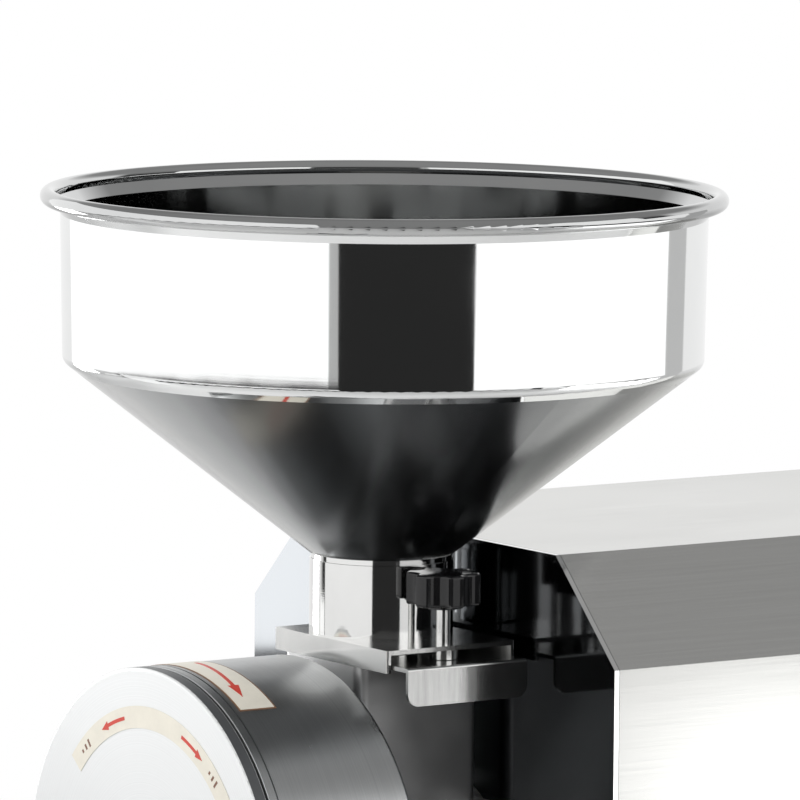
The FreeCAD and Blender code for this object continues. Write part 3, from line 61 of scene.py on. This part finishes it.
# Label on the cap's face. Turns are in degrees, clockwise from the top of the head
CAP_LABEL_ASIDE = 1.0 * MM
CAP_LABEL_R = 95.5 * MM
CAP_LABEL_WIDTH = 12.0 * MM
CAP_LABEL_START = -50.0
CAP_LABEL_END = 54.0
CAP_LABEL_PROUD = 0.15 * MM
CAP_PRINT_PROUD = 0.29 * MM
CAP_ARROWS = (("cap_arrow_left", -14.8, -29.6), ("cap_arrow_right", 19.8, 33.6))
ARROW_WIDTH = 2.0 * MM
ARROW_HEAD = 7.0 * MM
ARROW_BARB = 1.25
TICKS = 3
TICK_SHORT = 2.0 * MM
TICK_LONG = 4.6 * MM
TICK_STEP = 1.3 * MM
TICK_FIRST = 39.0
TICK_APART = 2.4
TICK_HALF = 0.45

# Label wrapped over the drum
PLATE_BACK = 18.8 * MM
PLATE_WIDTH = 23.2 * MM
PLATE_START = -34.0
PLATE_END = 30.0
PLATE_BORDER = 1.0 * MM
BORDER_PROUD = 0.12 * MM
PLATE_PROUD = 0.22 * MM
TURN_ARROW_BACK = 14.4 * MM
TURN_ARROW_PROUD = 0.34 * MM
TURN_ARROW_THICK = 0.12 * MM
TURN_ARROW_LEAN = 0.24 * MM
TURN_ARROW_PARTS = (("drum_arrow_shaft", 1.2 * MM, -3.0, 18.6), ("drum_arrow_point", 3.4 * MM, 18.4, 24.3))
POINT_LEFT = 0.04

FILM_THICK = 0.2 * MM
INK_THICK = 0.1 * MM
SAME_POINT = 0.01 * MM
LABEL_CREAM = (0.80, 0.76, 0.66)
LABEL_RED = (0.62, 0.05, 0.03)

# Studio cards, which the metal mirrors and the camera doesn't see. Each has its name, its distance
# from the hopper's axis, where it starts and ends in degrees from the camera, its lowest and highest
# edge, and its strength
NEAR = 0.80
FAR = 0.95
CARDS = (
    ("card_left", NEAR, -137.0, -17.0, 0.54, 1.1, 1.3),
    ("card_left_edge", NEAR, -17.0, -14.0, 0.54, 1.1, 0.5),
    ("card_far_left", NEAR, -137.0, -118.0, 0.35, 0.54, 6.5),
    ("card_cover", NEAR, -112.0, -101.0, 0.365, 0.395, 1.2),
    ("card_cap", NEAR, -100.0, -84.0, 0.02, 0.36, 1.1),
    ("card_neck", NEAR, -100.0, -14.0, 0.36, 0.50, 0.95),
    ("card_right", FAR, 29.5, 88.0, 0.50, 1.1, 1.3),
    ("card_right_edge", FAR, 88.0, 112.0, 0.50, 0.80, 1.3),
    ("card_far_right", FAR, 112.0, 126.0, 0.02, 0.80, 0.55),
    ("card_neck_right", NEAR, 29.5, 50.0, 0.36, 0.50, 0.8),
    ("card_side", FAR, 66.0, 112.0, 0.02, 0.370, 2.1),
    ("card_tab", FAR, 55.0, 64.5, 0.28, 0.38, 1.0),
)
CARD_STEPS = 32

# The room round the mill: how high a direction points, from -1 to 1, and how bright it is there.
# The front lies behind the camera, and between the two turns it gives way to the rear
ROOM_FRONT = ((-0.30, 0.02), (0.20, 0.03), (0.45, 0.30), (0.80, 0.32))
ROOM_REAR = ((-0.30, 0.60), (-0.10, 0.95), (0.02, 0.98), (0.30, 0.98), (0.47, 0.33), (0.85, 0.27))
ROOM_TURNS = (0.30, 0.42)
FLOOR_R = 1.5
LAMP_PLACE = (-0.5, -1.6, 2.6)
LAMP_AIM = (0, 0, 0.4)
LAMP_SIZE = 1.4
LAMP_WATTS = 40.0

# Sockets of a colour mix, which have no names of their own
MIX_SHARE, MIX_FIRST, MIX_SECOND, MIX_COLOUR = 0, 6, 7, 2

# Where most of the noise lies
NOISE_LOW, NOISE_HIGH = 0.3, 0.7


def towards_camera():
    return Vector((math.sin(VIEW_ROUND) * math.cos(VIEW_HIGH),
                   -math.cos(VIEW_ROUND) * math.cos(VIEW_HIGH), math.sin(VIEW_HIGH)))


def set_camera():
    """A long lens well back, aimed a little below the hopper's rim."""
    back = towards_camera()
    level = Vector((math.cos(VIEW_ROUND), math.sin(VIEW_ROUND), 0.0))
    rise = back.cross(level)
    side = level * math.cos(VIEW_TILT) + rise * math.sin(VIEW_TILT)
    up = rise * math.cos(VIEW_TILT) - level * math.sin(VIEW_TILT)
    place = RIM + back * VIEW_BACK + side * VIEW_ASIDE - up * VIEW_DOWN
    lens = bpy.data.cameras.new("camera")
    lens.lens = VIEW_LENS
    lens.clip_end = VIEW_REACH
    camera = bpy.data.objects.new("camera", lens)
    turn = Matrix((side, up, back)).transposed().to_4x4()
    camera.matrix_world = Matrix.Translation(place) @ turn
    bpy.context.scene.collection.objects.link(camera)
    bpy.context.scene.camera = camera


def grey(tone):
    return (tone, tone, tone)


def scaled(colour, by):
    return [min(1.0, c * by) for c in colour]


class Wiring:
    """Adds nodes to a tree, each with what feeds it."""

    def __init__(self, tree):
        self.tree = tree

    def node(self, kind, **settings):
        node = self.tree.nodes.new(kind)
        for key, value in settings.items():
            if key in node.inputs:
                node.inputs[key].default_value = value
            else:
                setattr(node, key, value)
        return node

    def feed(self, node, socket, source):
        """Links a socket to another node, or sets it where the source is a plain value."""
        if isinstance(source, bpy.types.NodeSocket):
            self.tree.links.new(source, node.inputs[socket])
        else:
            node.inputs[socket].default_value = source

    def vector(self, operation, first, second=None):
        node = self.node("ShaderNodeVectorMath", operation=operation)
        self.feed(node, 0, first)
        if second is not None:
            self.feed(node, 1, second)
        return node.outputs["Value" if operation in ("LENGTH", "DOT_PRODUCT") else "Vector"]

    def part(self, source, letter):
        """One direction of a vector."""
        parts = self.node("ShaderNodeSeparateXYZ")
        self.feed(parts, "Vector", source)
        return parts.outputs[letter]

    def number(self, operation, *sources):
        node = self.node("ShaderNodeMath", operation=operation)
        for i, source in enumerate(sources):
            self.feed(node, i, source)
        return node.outputs["Value"]

    def span(self, source, come, go=(0.0, 1.0)):
        """Carries a value from one pair of limits to another."""
        span = self.node("ShaderNodeMapRange")
        for socket, value in zip(("From Min", "From Max", "To Min", "To Max"), (*come, *go)):
            self.feed(span, socket, value)
        self.feed(span, "Value", source)
        return span.outputs["Result"]

    def ramp(self, source, *stops):
        """Colours at their places from 0 to 1."""
        ramp = self.node("ShaderNodeValToRGB")
        points = ramp.color_ramp.elements
        for i, (at, colour) in enumerate(stops):
            point = points[i] if i < 2 else points.new(at)
            point.position = at
            point.color = (*colour, 1.0)
        self.feed(ramp, "Fac", source)
        return ramp.outputs["Color"]

    def mix(self, share, first, second, blend="MIX"):
        mix = self.node("ShaderNodeMix", data_type="RGBA", blend_type=blend)
        self.feed(mix, MIX_SHARE, share)
        self.feed(mix, MIX_FIRST, first)
        self.feed(mix, MIX_SECOND, second)
        return mix.outputs[MIX_COLOUR]


class Finish(Wiring):
    """A surface finish: a node material, built from its surface shader back."""

    def __init__(self, name, metal=None):
        self.material = bpy.data.materials.new(name)
        self.material.use_nodes = True
        super().__init__(self.material.node_tree)
        self.surface = self.tree.nodes["Principled BSDF"]
        self.place = None
        if metal is not None:
            self.surface.inputs["Metallic"].default_value = metal

    def spot(self):
        if self.place is None:
            self.place = self.node("ShaderNodeTexCoord").outputs["Object"]
        return self.place

    def normal(self):
        return self.node("ShaderNodeNewGeometry").outputs["Normal"]

    def grain(self, stretch, detail=4.0):
        """Noise pulled out along the directions with a small stretch number."""
        mapping = self.node("ShaderNodeMapping", Scale=stretch)
        self.feed(mapping, "Vector", self.spot())
        noise = self.node("ShaderNodeTexNoise", Scale=1.0, Detail=detail, Roughness=0.6)
        self.feed(noise, "Vector", mapping.outputs["Vector"])
        return noise.outputs["Fac"]

    def off_axis(self, centre, counted):
        """How far a point is from an axis, in the directions that are counted with a 1."""
        return self.vector("MULTIPLY", self.vector("SUBTRACT", self.spot(), centre), counted)

    def rings(self, centre, per_metre):
        """Turning marks: noise that depends only on the distance from an axis along Y."""
        noise = self.node("ShaderNodeTexNoise", noise_dimensions="1D", Scale=per_metre, Detail=3.0)
        self.feed(noise, "W", self.vector("LENGTH", self.off_axis(centre, (1, 0, 1))))
        return noise.outputs["Fac"]

    def faces_front(self):
        """1 where the surface faces the front or the rear, 0 where it faces sideways or up."""
        return self.number("ABSOLUTE", self.part(self.normal(), "Y"))

    def between(self, source, dark, light):
        """Spreads noise between two colours."""
        return self.ramp(source, (NOISE_LOW, dark), (NOISE_HIGH, light))

    def paint(self, source):
        self.feed(self.surface, "Base Color", source)

    def colour(self, source, dark, light):
        self.paint(self.between(source, dark, light))

    def roughness(self, source, low, high):
        self.feed(self.surface, "Roughness", self.span(source, (NOISE_LOW, NOISE_HIGH), (low, high)))

    def bumps(self, *layers):
        """Each layer is a height and how deep it goes, in metres."""
        normal = None
        for height, depth in layers:
            bump = self.node("ShaderNodeBump", Distance=depth, Strength=1.0)
            self.feed(bump, "Height", height)
            if normal is not None:
                self.feed(bump, "Normal", normal)
            normal = bump.outputs["Normal"]
        self.feed(self.surface, "Normal", normal)


def polished_steel():
    """Mirror-polished drum, with faint spinning rings and hand marks, and painted shade on the bead and
    the inside: a darker copy of the steel there.
    """
    m = Finish("polished steel", 1.0)
    rings = m.grain((2.0, 2.0, 900.0), detail=3.0)
    smears = m.grain((9.0, 9.0, 9.0), detail=6.0)
    bright = m.between(smears, (0.80, 0.81, 0.81), (0.86, 0.865, 0.86))
    # Painted shade: the bead and the inside of the drum take this darker copy of the steel
    painted_shade_steel = m.between(smears, (0.50, 0.505, 0.51), (0.58, 0.585, 0.58))
    off_axis = m.off_axis(RIM, (1, 1, 0))
    outward = m.span(m.vector("DOT_PRODUCT", off_axis, m.normal()), (-0.03, 0.03))
    outside = m.ramp(outward, (0.0, grey(0.3)), (1.0, grey(1.0)))
    bead_starts = (RIM_R - BEAD_R - 1.0 * MM, RIM_R - BEAD_R)
    drum = m.ramp(m.span(m.vector("LENGTH", off_axis), bead_starts), (0.0, grey(1.0)), (1.0, grey(0.0)))
    m.paint(m.mix(m.number("MULTIPLY", outside, drum), painted_shade_steel, bright))
    m.roughness(smears, 0.025, 0.075)
    m.bumps((m.grain((5.0, 5.0, 5.0), detail=1.0), 160 * MICRON), (rings, 1.2 * MICRON))
    return m.material


def dull_cone():
    """The hopper's cone, spun and rougher than the drum; its colour is painted shade where it faces the
    view and a painted sheen where it is seen at a flat angle.
    """
    m = Finish("dull cone", 1.0)
    streaks = m.grain((60.0, 60.0, 6.0))
    cloud = m.grain((4.0, 4.0, 4.0), detail=2.0)
    # Painted shade and sheen: the colour is dark face-on and turns light at a flat angle of view
    glance = m.node("ShaderNodeLayerWeight", Blend=0.5).outputs["Facing"]
    painted_sheen_and_shade = m.ramp(glance, (0.54, (0.17, 0.175, 0.18)), (0.62, (0.29, 0.295, 0.30)),
                   (0.72, (0.60, 0.61, 0.61)), (0.82, (0.95, 0.95, 0.94)))
    m.paint(m.mix(0.25, painted_sheen_and_shade, m.between(streaks, grey(0.75), grey(1.0)), "MULTIPLY"))
    m.roughness(cloud, 0.17, 0.22)
    m.bumps((streaks, 4 * MICRON))
    return m.material


def satin_sheet():
    """Case sheet with a fine lengthwise grain."""
    m = Finish("satin sheet", 1.0)
    grain = m.grain((700.0, 9.0, 700.0), detail=5.0)
    cloud = m.grain((6.0, 3.0, 6.0))
    m.colour(grain, (0.72, 0.72, 0.70), (0.77, 0.77, 0.75))
    m.roughness(cloud, 0.22, 0.27)
    m.bumps((grain, 3 * MICRON))
    return m.material


def dark_mirror():
    """Front plate: dark mirror finish, with a painted highlight on the faces that turn sideways, its
    chamfer and side edges.
    """
    m = Finish("dark mirror", 1.0)
    # Painted highlight: faces turned sideways get a light copy of the finish, faces to the front or rear
    # stay dark
    m.paint(m.ramp(m.faces_front(), (0.45, (0.90, 0.90, 0.89)), (0.75, (0.11, 0.115, 0.12))))
    smears = m.grain((7.0, 7.0, 4.0), detail=5.0)
    m.roughness(smears, 0.06, 0.11)
    m.bumps((m.grain((9.0, 9.0, 6.0), detail=1.0), 450 * MICRON))
    return m.material


def turned_drum():
    """Ground and polished round the head: fine lines round the axis."""
    m = Finish("turned drum", 1.0)
    lines = m.grain((3.0, 2600.0, 3.0))
    cloud = m.grain((14.0, 30.0, 14.0))
    m.colour(lines, (0.47, 0.48, 0.485), (0.56, 0.57, 0.57))
    m.roughness(cloud, 0.26, 0.33)
    m.bumps((lines, 10 * MICRON))
    return m.material


def turned_face():
    """Front face of the cap: light, with faint turning rings, and painted shade round its rim."""
    m = Finish("turned face", 0.45)
    rings = m.rings(HEAD, 1500.0)
    cloud = m.grain((11.0, 11.0, 11.0))
    face = m.between(rings, (0.84, 0.85, 0.85), (0.89, 0.90, 0.90))
    front = m.ramp(m.faces_front(), (0.10, grey(0.0)), (0.45, grey(1.0)))
    # Painted shade: where the cap turns away from the front it takes a dark copy of the face colour
    m.paint(m.mix(front, (0.13, 0.135, 0.14, 1.0), face))
    m.roughness(cloud, 0.34, 0.42)
    m.bumps((rings, 3.5 * MICRON))
    return m.material


def cast_steel():
    """Blasted castings round the feed screw."""
    m = Finish("blasted casting", 1.0)
    tone = 0.62
    pits = m.grain((900.0, 900.0, 900.0), detail=3.0)
    cloud = m.grain((18.0, 18.0, 18.0))
    m.colour(cloud, grey(tone * 0.92), grey(tone * 1.06))
    m.roughness(cloud, 0.30, 0.42)
    m.bumps((pits, 30 * MICRON))
    return m.material


def bright_steel():
    """Screws, studs and shafts, bright and lightly scuffed."""
    m = Finish("bright steel", 1.0)
    scuffs = m.grain((160.0, 160.0, 160.0))
    m.colour(scuffs, (0.74, 0.74, 0.73), (0.84, 0.84, 0.83))
    m.roughness(scuffs, 0.10, 0.20)
    m.bumps((scuffs, 10 * MICRON))
    return m.material


def cover_steel():
    """Gate cover and slide: folded sheet with a satin finish."""
    m = Finish("cover steel", 1.0)
    grain = m.grain((30.0, 500.0, 30.0), detail=5.0)
    cloud = m.grain((25.0, 25.0, 25.0))
    m.colour(grain, (0.62, 0.62, 0.61), (0.74, 0.74, 0.73))
    m.roughness(cloud, 0.16, 0.22)
    m.bumps((grain, 6 * MICRON))
    return m.material


def neck_steel():
    """Neck tube and chute, polished less than the hopper."""
    m = Finish("neck steel", 1.0)
    rings = m.grain((4.0, 4.0, 1200.0), detail=3.0)
    cloud = m.grain((25.0, 25.0, 25.0))
    m.colour(cloud, (0.80, 0.80, 0.79), (0.87, 0.87, 0.86))
    m.roughness(cloud, 0.05, 0.09)
    m.bumps((rings, 6 * MICRON))
    return m.material


def moulded(name, colour, rough=(0.10, 0.2), depth=10 * MICRON):
    """Moulded plastic: a little gloss, a faint orange-peel skin."""
    m = Finish(name)
    skin = m.grain((420.0, 420.0, 420.0), detail=2.0)
    wear = m.grain((60.0, 60.0, 60.0), detail=5.0)
    m.colour(wear, scaled(colour, 0.86), [min(1.0, c * 1.12 + 0.002) for c in colour])
    m.roughness(wear, *rough)
    m.bumps((skin, depth))
    return m.material


def rubber():
    """Feet and seal, dusty and matt."""
    m = Finish("foot rubber")
    dust = m.grain((90.0, 90.0, 90.0), detail=6.0)
    m.colour(dust, (0.018, 0.018, 0.018), (0.045, 0.044, 0.042))
    m.roughness(dust, 0.55, 0.75)
    m.bumps((m.grain((1500.0, 1500.0, 1500.0)), 40 * MICRON))
    return m.material


def painted(name, colour):
    """Sprayed paint, a little worn."""
    m = Finish(name)
    peel = m.grain((500.0, 500.0, 500.0), detail=2.0)
    wear = m.grain((22.0, 22.0, 22.0), detail=5.0)
    m.colour(wear, scaled(colour, 0.88), scaled(colour, 1.1))
    m.roughness(wear, 0.38, 0.55)
    m.bumps((peel, 20 * MICRON))
    return m.material


def raw_iron(name, tone):
    """Burrs and laminations, unpainted."""
    m = Finish(name, 1.0)
    cast = m.grain((260.0, 260.0, 260.0), detail=5.0)
    m.colour(cast, grey(tone * 0.75), grey(tone * 1.2))
    m.roughness(cast, 0.35, 0.55)
    m.bumps((cast, 60 * MICRON))
    return m.material


def copper():
    """Windings, strand beside strand."""
    m = Finish("varnished copper", 0.8)
    strands = m.grain((900.0, 60.0, 900.0), detail=3.0)
    m.colour(strands, (0.36, 0.12, 0.04), (0.70, 0.30, 0.13))
    m.roughness(strands, 0.22, 0.40)
    m.bumps((strands, 100 * MICRON))
    return m.material


def printed(name, colour):
    """Printed label film, slightly uneven."""
    m = Finish(name)
    mottle = m.grain((120.0, 120.0, 120.0), detail=5.0)
    m.colour(mottle, scaled(colour, 0.96), scaled(colour, 1.03))
    m.roughness(mottle, 0.30, 0.42)
    m.bumps((m.grain((900.0, 900.0, 900.0), detail=2.0), 6 * MICRON))
    return m.material


def dress(material, *nodes):
    """Gives CAD nodes a finish by their material slots."""
    for name in nodes:
        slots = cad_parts[name].data.materials
        if len(slots) == 0:
            slots.append(material)
        for i in range(len(slots)):
            slots[i] = material


def dress_sheet_metal():
    dress(polished_steel(), "hopper")
    dress(dull_cone(), "hopper_cone")
    dress(satin_sheet(), "case_shell", "rear_panel")
    dress(dark_mirror(), "front_plate")
    dress(neck_steel(), "hopper_spigot", "gate_neck", "outlet_chute")
    dress(cover_steel(), "gate_cover", "gate_slide")
    dress(painted("case grey", grey(0.24)), "base_plate", "bulkhead", "capacitor_straps")


def dress_head():
    dress(turned_drum(), "chamber")
    dress(turned_face(), "adjusting_cap")
    dress(cast_steel(), "feed_housing", "feed_throat")
    dress(raw_iron("hard iron", 0.30), "rotating_burr", "fixed_burr", "burr_holder")


def dress_small_parts():
    dress(bright_steel(), "gate_stud", "gate_cover_screws", "housing_bolts", "chamber_screws",
          "chute_bolts", "burr_screws", "thrust_screw", "grip_studs", "main_shaft", "burr_nut",
          "bearing_outer", "bearing_inner", "bearing_balls", "motor_bolts", "base_screws",
          "bulkhead_bolts", "foot_bolts", "button_bezels", "auger")
    dress(moulded("glossy black", (0.012, 0.012, 0.013), (0.05, 0.12)), "gate_knob")
    dress(moulded("grip black", grey(0.02), (0.25, 0.4), 30 * MICRON), "cap_grips")
    dress(moulded("gland nylon", (0.02, 0.02, 0.022), (0.35, 0.5), 20 * MICRON), "cable_gland",
          "gland_nut", "switch_box", "motor_fan")
    dress(moulded("start green", (0.02, 0.30, 0.07)), "start_button")
    dress(moulded("stop red", (0.55, 0.02, 0.015)), "stop_button")
    dress(rubber(), "rubber_feet", "shaft_seal")


def dress_motor():
    dress(painted("motor grey", (0.10, 0.115, 0.13)), "motor_frame", "motor_flange",
          "motor_rear_shield", "fan_cowl")
    dress(painted("can silver", grey(0.55)), "capacitors")
    dress(raw_iron("laminations", 0.4), "stator_core", "rotor_core")
    dress(copper(), "stator_windings")


def clear_selection():
    bpy.ops.object.select_all(action="DESELECT")


def finished(name, material, body):
    """Names the piece just made, gives it its finish, and lets it ride on its body."""
    piece = bpy.context.active_object
    piece.name = piece.data.name = name
    bpy.ops.object.transform_apply(location=True, rotation=True, scale=True)
    piece.data.materials.clear()
    piece.data.materials.append(material)
    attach(piece, body)
    clear_selection()


def at_angle(centre, radius, degrees, y):
    """A point on a circle round an axis along Y, measured clockwise from the top."""
    a = math.radians(degrees)
    return Vector((centre.x + radius * math.sin(a), y, centre.z + radius * math.cos(a)))


def spun_edge(first, reach, start, end, centre, axis, steps):
    """A point drawn out to an edge and swung round an axis. It is left in edit mode.

    Spin swings against the angle it is given, so that is the start less the end.
    """
    clear_selection()
    bpy.ops.mesh.primitive_plane_add(size=1.0, location=(0, 0, 0))
    bpy.ops.object.mode_set(mode="EDIT")
    bpy.ops.mesh.select_all(action="SELECT")
    bpy.ops.mesh.merge(type="CENTER")
    bpy.ops.transform.translate(value=first)
    bpy.ops.mesh.extrude_region_move(TRANSFORM_OT_translate={"value": reach})
    bpy.ops.mesh.select_all(action="SELECT")
    bpy.ops.mesh.spin(steps=steps, angle=math.radians(start - end), center=centre, axis=axis)


def thicken(thick):
    piece = bpy.context.active_object
    wall = piece.modifiers.new("wall", "SOLIDIFY")
    wall.thickness = thick
    wall.offset = 0.0
    bpy.ops.object.modifier_apply(modifier=wall.name)


def head_strip(first, reach, centre, start, end, thick, steps):
    """A thin strip swung round the head, from an edge at its start."""
    spun_edge(first, reach, start, end, (centre.x, first.y, centre.z), (0, 1, 0), steps)
    bpy.ops.mesh.select_all(action="SELECT")
    bpy.ops.mesh.remove_doubles(threshold=SAME_POINT)
    bpy.ops.mesh.normals_make_consistent(inside=False)
    bpy.ops.object.mode_set(mode="OBJECT")
    thicken(thick)


def arc_band(centre, inner, outer, start, end, y, thick, steps=48):
    """A flat strip on the cap's face."""
    first = at_angle(centre, inner, start, y)
    head_strip(first, at_angle(centre, outer, start, y) - first, centre, start, end, thick, steps)


def wrapped_strip(front, rear, start, end, proud, thick, steps=32):
    """A strip laid round the head's drum."""
    first = at_angle(HEAD, HEAD_R + proud, start, front)
    head_strip(first, (0, rear - front, 0), HEAD, start, end, thick, steps)


def arrow_point(centre, radius, base, tip, y):
    """The three-sided point of a curved arrow, from the turn of its base to that of its tip."""
    bpy.ops.mesh.primitive_cylinder_add(vertices=3, radius=1.0, depth=INK_THICK, location=(0, 0, 0))
    point = bpy.context.active_object
    barb = ARROW_BARB * ARROW_WIDTH
    corners = [at_angle(centre, radius, tip, y), at_angle(centre, radius - barb, base, y),
               at_angle(centre, radius + barb, base, y)]
    for vertex in point.data.vertices:
        third = round(math.degrees(math.atan2(vertex.co.x, vertex.co.y)) / 120.0) % 3
        vertex.co = corners[third] + Vector((0, math.copysign(INK_THICK / 2, vertex.co.z), 0))
    bpy.ops.object.mode_set(mode="EDIT")
    bpy.ops.mesh.select_all(action="SELECT")
    bpy.ops.mesh.normals_make_consistent(inside=False)
    bpy.ops.object.mode_set(mode="OBJECT")


def curved_arrow(centre, radius, start, end, y):
    """A curved arrow on the cap's face: a band that ends in a point."""
    turn = 1 if end > start else -1
    base = end - turn * math.degrees(ARROW_HEAD / radius)
    arc_band(centre, radius - ARROW_WIDTH / 2, radius + ARROW_WIDTH / 2, start, base, y, INK_THICK, 16)
    shaft = bpy.context.active_object
    clear_selection()
    arrow_point(centre, radius, base, end, y)
    shaft.select_set(True)
    bpy.context.view_layer.objects.active = shaft
    bpy.ops.object.join()


def cap_ticks(centre, y):
    """Strokes that grow towards one end of the scale and shrink towards the other."""
    brown = printed("label brown", (0.20, 0.09, 0.05))
    for side in (-1, 1):
        for i in range(TICKS):
            tall = TICK_SHORT + TICK_STEP * i if side > 0 else TICK_LONG - TICK_STEP * i
            middle = side * (TICK_FIRST + TICK_APART * i)
            arc_band(centre, CAP_LABEL_R - tall / 2, CAP_LABEL_R + tall / 2,
                     middle - TICK_HALF, middle + TICK_HALF, y, INK_THICK, 2)
            finished("cap_tick_%d_%d" % (side + 1, i), brown, "cap")


def cap_label():
    """Cream arched label on the cap's face, with an arrow each way."""
    centre = HEAD + Vector((CAP_LABEL_ASIDE, 0, 0))
    half = CAP_LABEL_WIDTH / 2
    arc_band(centre, CAP_LABEL_R - half, CAP_LABEL_R + half, CAP_LABEL_START, CAP_LABEL_END,
             HEAD.y - CAP_LABEL_PROUD, FILM_THICK)
    finished("cap_label", printed("label cream", LABEL_CREAM), "cap")
    red = printed("arrow red", LABEL_RED)
    print_y = HEAD.y - CAP_PRINT_PROUD
    for name, start, end in CAP_ARROWS:
        curved_arrow(centre, CAP_LABEL_R, start, end, print_y)
        finished(name, red, "cap")
    cap_ticks(centre, print_y)


def turn_of(vertex):
    """How far round the drum a point is from the top, in degrees."""
    return math.degrees(math.atan2(vertex.co.x - HEAD.x, vertex.co.z - HEAD.z))


def narrow_to_point(middle, start, end):
    """Makes the strip just laid run out to a point at its far end."""
    for vertex in bpy.context.active_object.data.vertices:
        share = max(POINT_LEFT, min(1.0, (end - turn_of(vertex)) / (end - start)))
        vertex.co.y = middle + (vertex.co.y - middle) * share


def lean_forward():
    """Leans the strip just laid towards the front as it comes down the drum."""
    for vertex in bpy.context.active_object.data.vertices:
        vertex.co.y -= TURN_ARROW_LEAN * turn_of(vertex)


def drum_arrow(middle):
    """Red arrow for the motor's turn: a shaft and a point, leaning towards the front."""
    red = printed("turn red", LABEL_RED)
    for name, half, start, end in TURN_ARROW_PARTS:
        wrapped_strip(middle - half, middle + half, start, end, TURN_ARROW_PROUD, TURN_ARROW_THICK, 16)
        if name == "drum_arrow_point":
            narrow_to_point(middle, start, end)
        lean_forward()
        finished(name, red, "housing")


def drum_label():
    """Cream plate with a brown border, wrapped over the drum."""
    front = HEAD.y + PLATE_BACK
    rear = front + PLATE_WIDTH
    wrapped_strip(front, rear, PLATE_START, PLATE_END, BORDER_PROUD, FILM_THICK)
    finished("drum_label_border", printed("border brown", (0.22, 0.12, 0.07)), "housing")
    inset = math.degrees(PLATE_BORDER / HEAD_R)
    wrapped_strip(front + PLATE_BORDER, rear - PLATE_BORDER, PLATE_START + inset, PLATE_END - inset,
                  PLATE_PROUD, FILM_THICK)
    finished("drum_label", printed("plate cream", LABEL_CREAM), "housing")
    drum_arrow(front + TURN_ARROW_BACK)


def glowing(name, strength):
    """A plain white glow for a studio card."""
    material = bpy.data.materials.new(name)
    material.use_nodes = True
    wiring = Wiring(material.node_tree)
    wiring.tree.nodes.remove(wiring.tree.nodes["Principled BSDF"])
    glow = wiring.node("ShaderNodeEmission", Strength=strength)
    wiring.feed(wiring.tree.nodes["Material Output"], "Surface", glow.outputs["Emission"])
    return material


def studio_card(name, radius, start, end, low, high, strength):
    """A curved glowing card round the mill. The steel mirrors it and the camera doesn't see it."""
    first = VIEW_ROUND - math.pi / 2 + math.radians(start)
    corner = (RIM.x + radius * math.cos(first), RIM.y + radius * math.sin(first), low)
    spun_edge(corner, (0, 0, high - low), start, end, (RIM.x, RIM.y, 0), (0, 0, 1), CARD_STEPS)
    bpy.ops.object.mode_set(mode="OBJECT")
    card = bpy.context.active_object
    card.name = name
    bpy.ops.object.transform_apply(location=True, rotation=True, scale=True)
    card.data.materials.append(glowing(name, strength))
    card.visible_camera = False
    card.visible_shadow = False
    clear_selection()


def studio_world():
    """White sweep behind the mill, grey ceiling, and a dark room behind the camera."""
    world = bpy.data.worlds.new("studio")
    bpy.context.scene.world = world
    world.use_nodes = True
    room = Wiring(world.node_tree)
    where = room.node("ShaderNodeTexCoord").outputs["Generated"]
    high = room.span(room.part(where, "Z"), (-1.0, 1.0))
    front, rear = [room.ramp(high, *[((height + 1) / 2, grey(tone)) for height, tone in band])
                   for band in (ROOM_FRONT, ROOM_REAR)]
    away = room.vector("DOT_PRODUCT", where, (-math.sin(VIEW_ROUND), math.cos(VIEW_ROUND), 0))
    around = room.mix(room.span(away, ROOM_TURNS), front, rear)
    seen = room.node("ShaderNodeLightPath").outputs["Is Camera Ray"]
    room.feed(room.tree.nodes["Background"], "Color", room.mix(seen, around, (1, 1, 1, 1)))


def floor():
    clear_selection()
    bpy.ops.mesh.primitive_circle_add(vertices=96, radius=FLOOR_R, fill_type="NGON", location=(0, 0, 0))
    sheet = bpy.context.active_object
    sheet.name = "studio_floor"
    m = Finish("studio floor")
    m.colour(m.grain((3.0, 3.0, 3.0)), grey(0.86), grey(0.88))
    m.surface.inputs["Roughness"].default_value = 0.9
    sheet.data.materials.append(m.material)
    clear_selection()


def top_lamp():
    light = bpy.data.lights.new("top_lamp", "AREA")
    light.size = LAMP_SIZE
    light.energy = LAMP_WATTS
    holder = bpy.data.objects.new("top_lamp", light)
    holder.location = LAMP_PLACE
    holder.rotation_euler = (Vector(LAMP_AIM) - Vector(LAMP_PLACE)).to_track_quat("-Z", "Y").to_euler()
    holder.visible_glossy = False
    bpy.context.scene.collection.objects.link(holder)


def studio():
    studio_world()
    floor()
    for card in CARDS:
        studio_card(*card)
    top_lamp()
    bpy.context.scene.view_settings.view_transform = "Standard"


set_camera()
dress_sheet_metal()
dress_head()
dress_small_parts()
dress_motor()
cap_label()
drum_label()
studio()
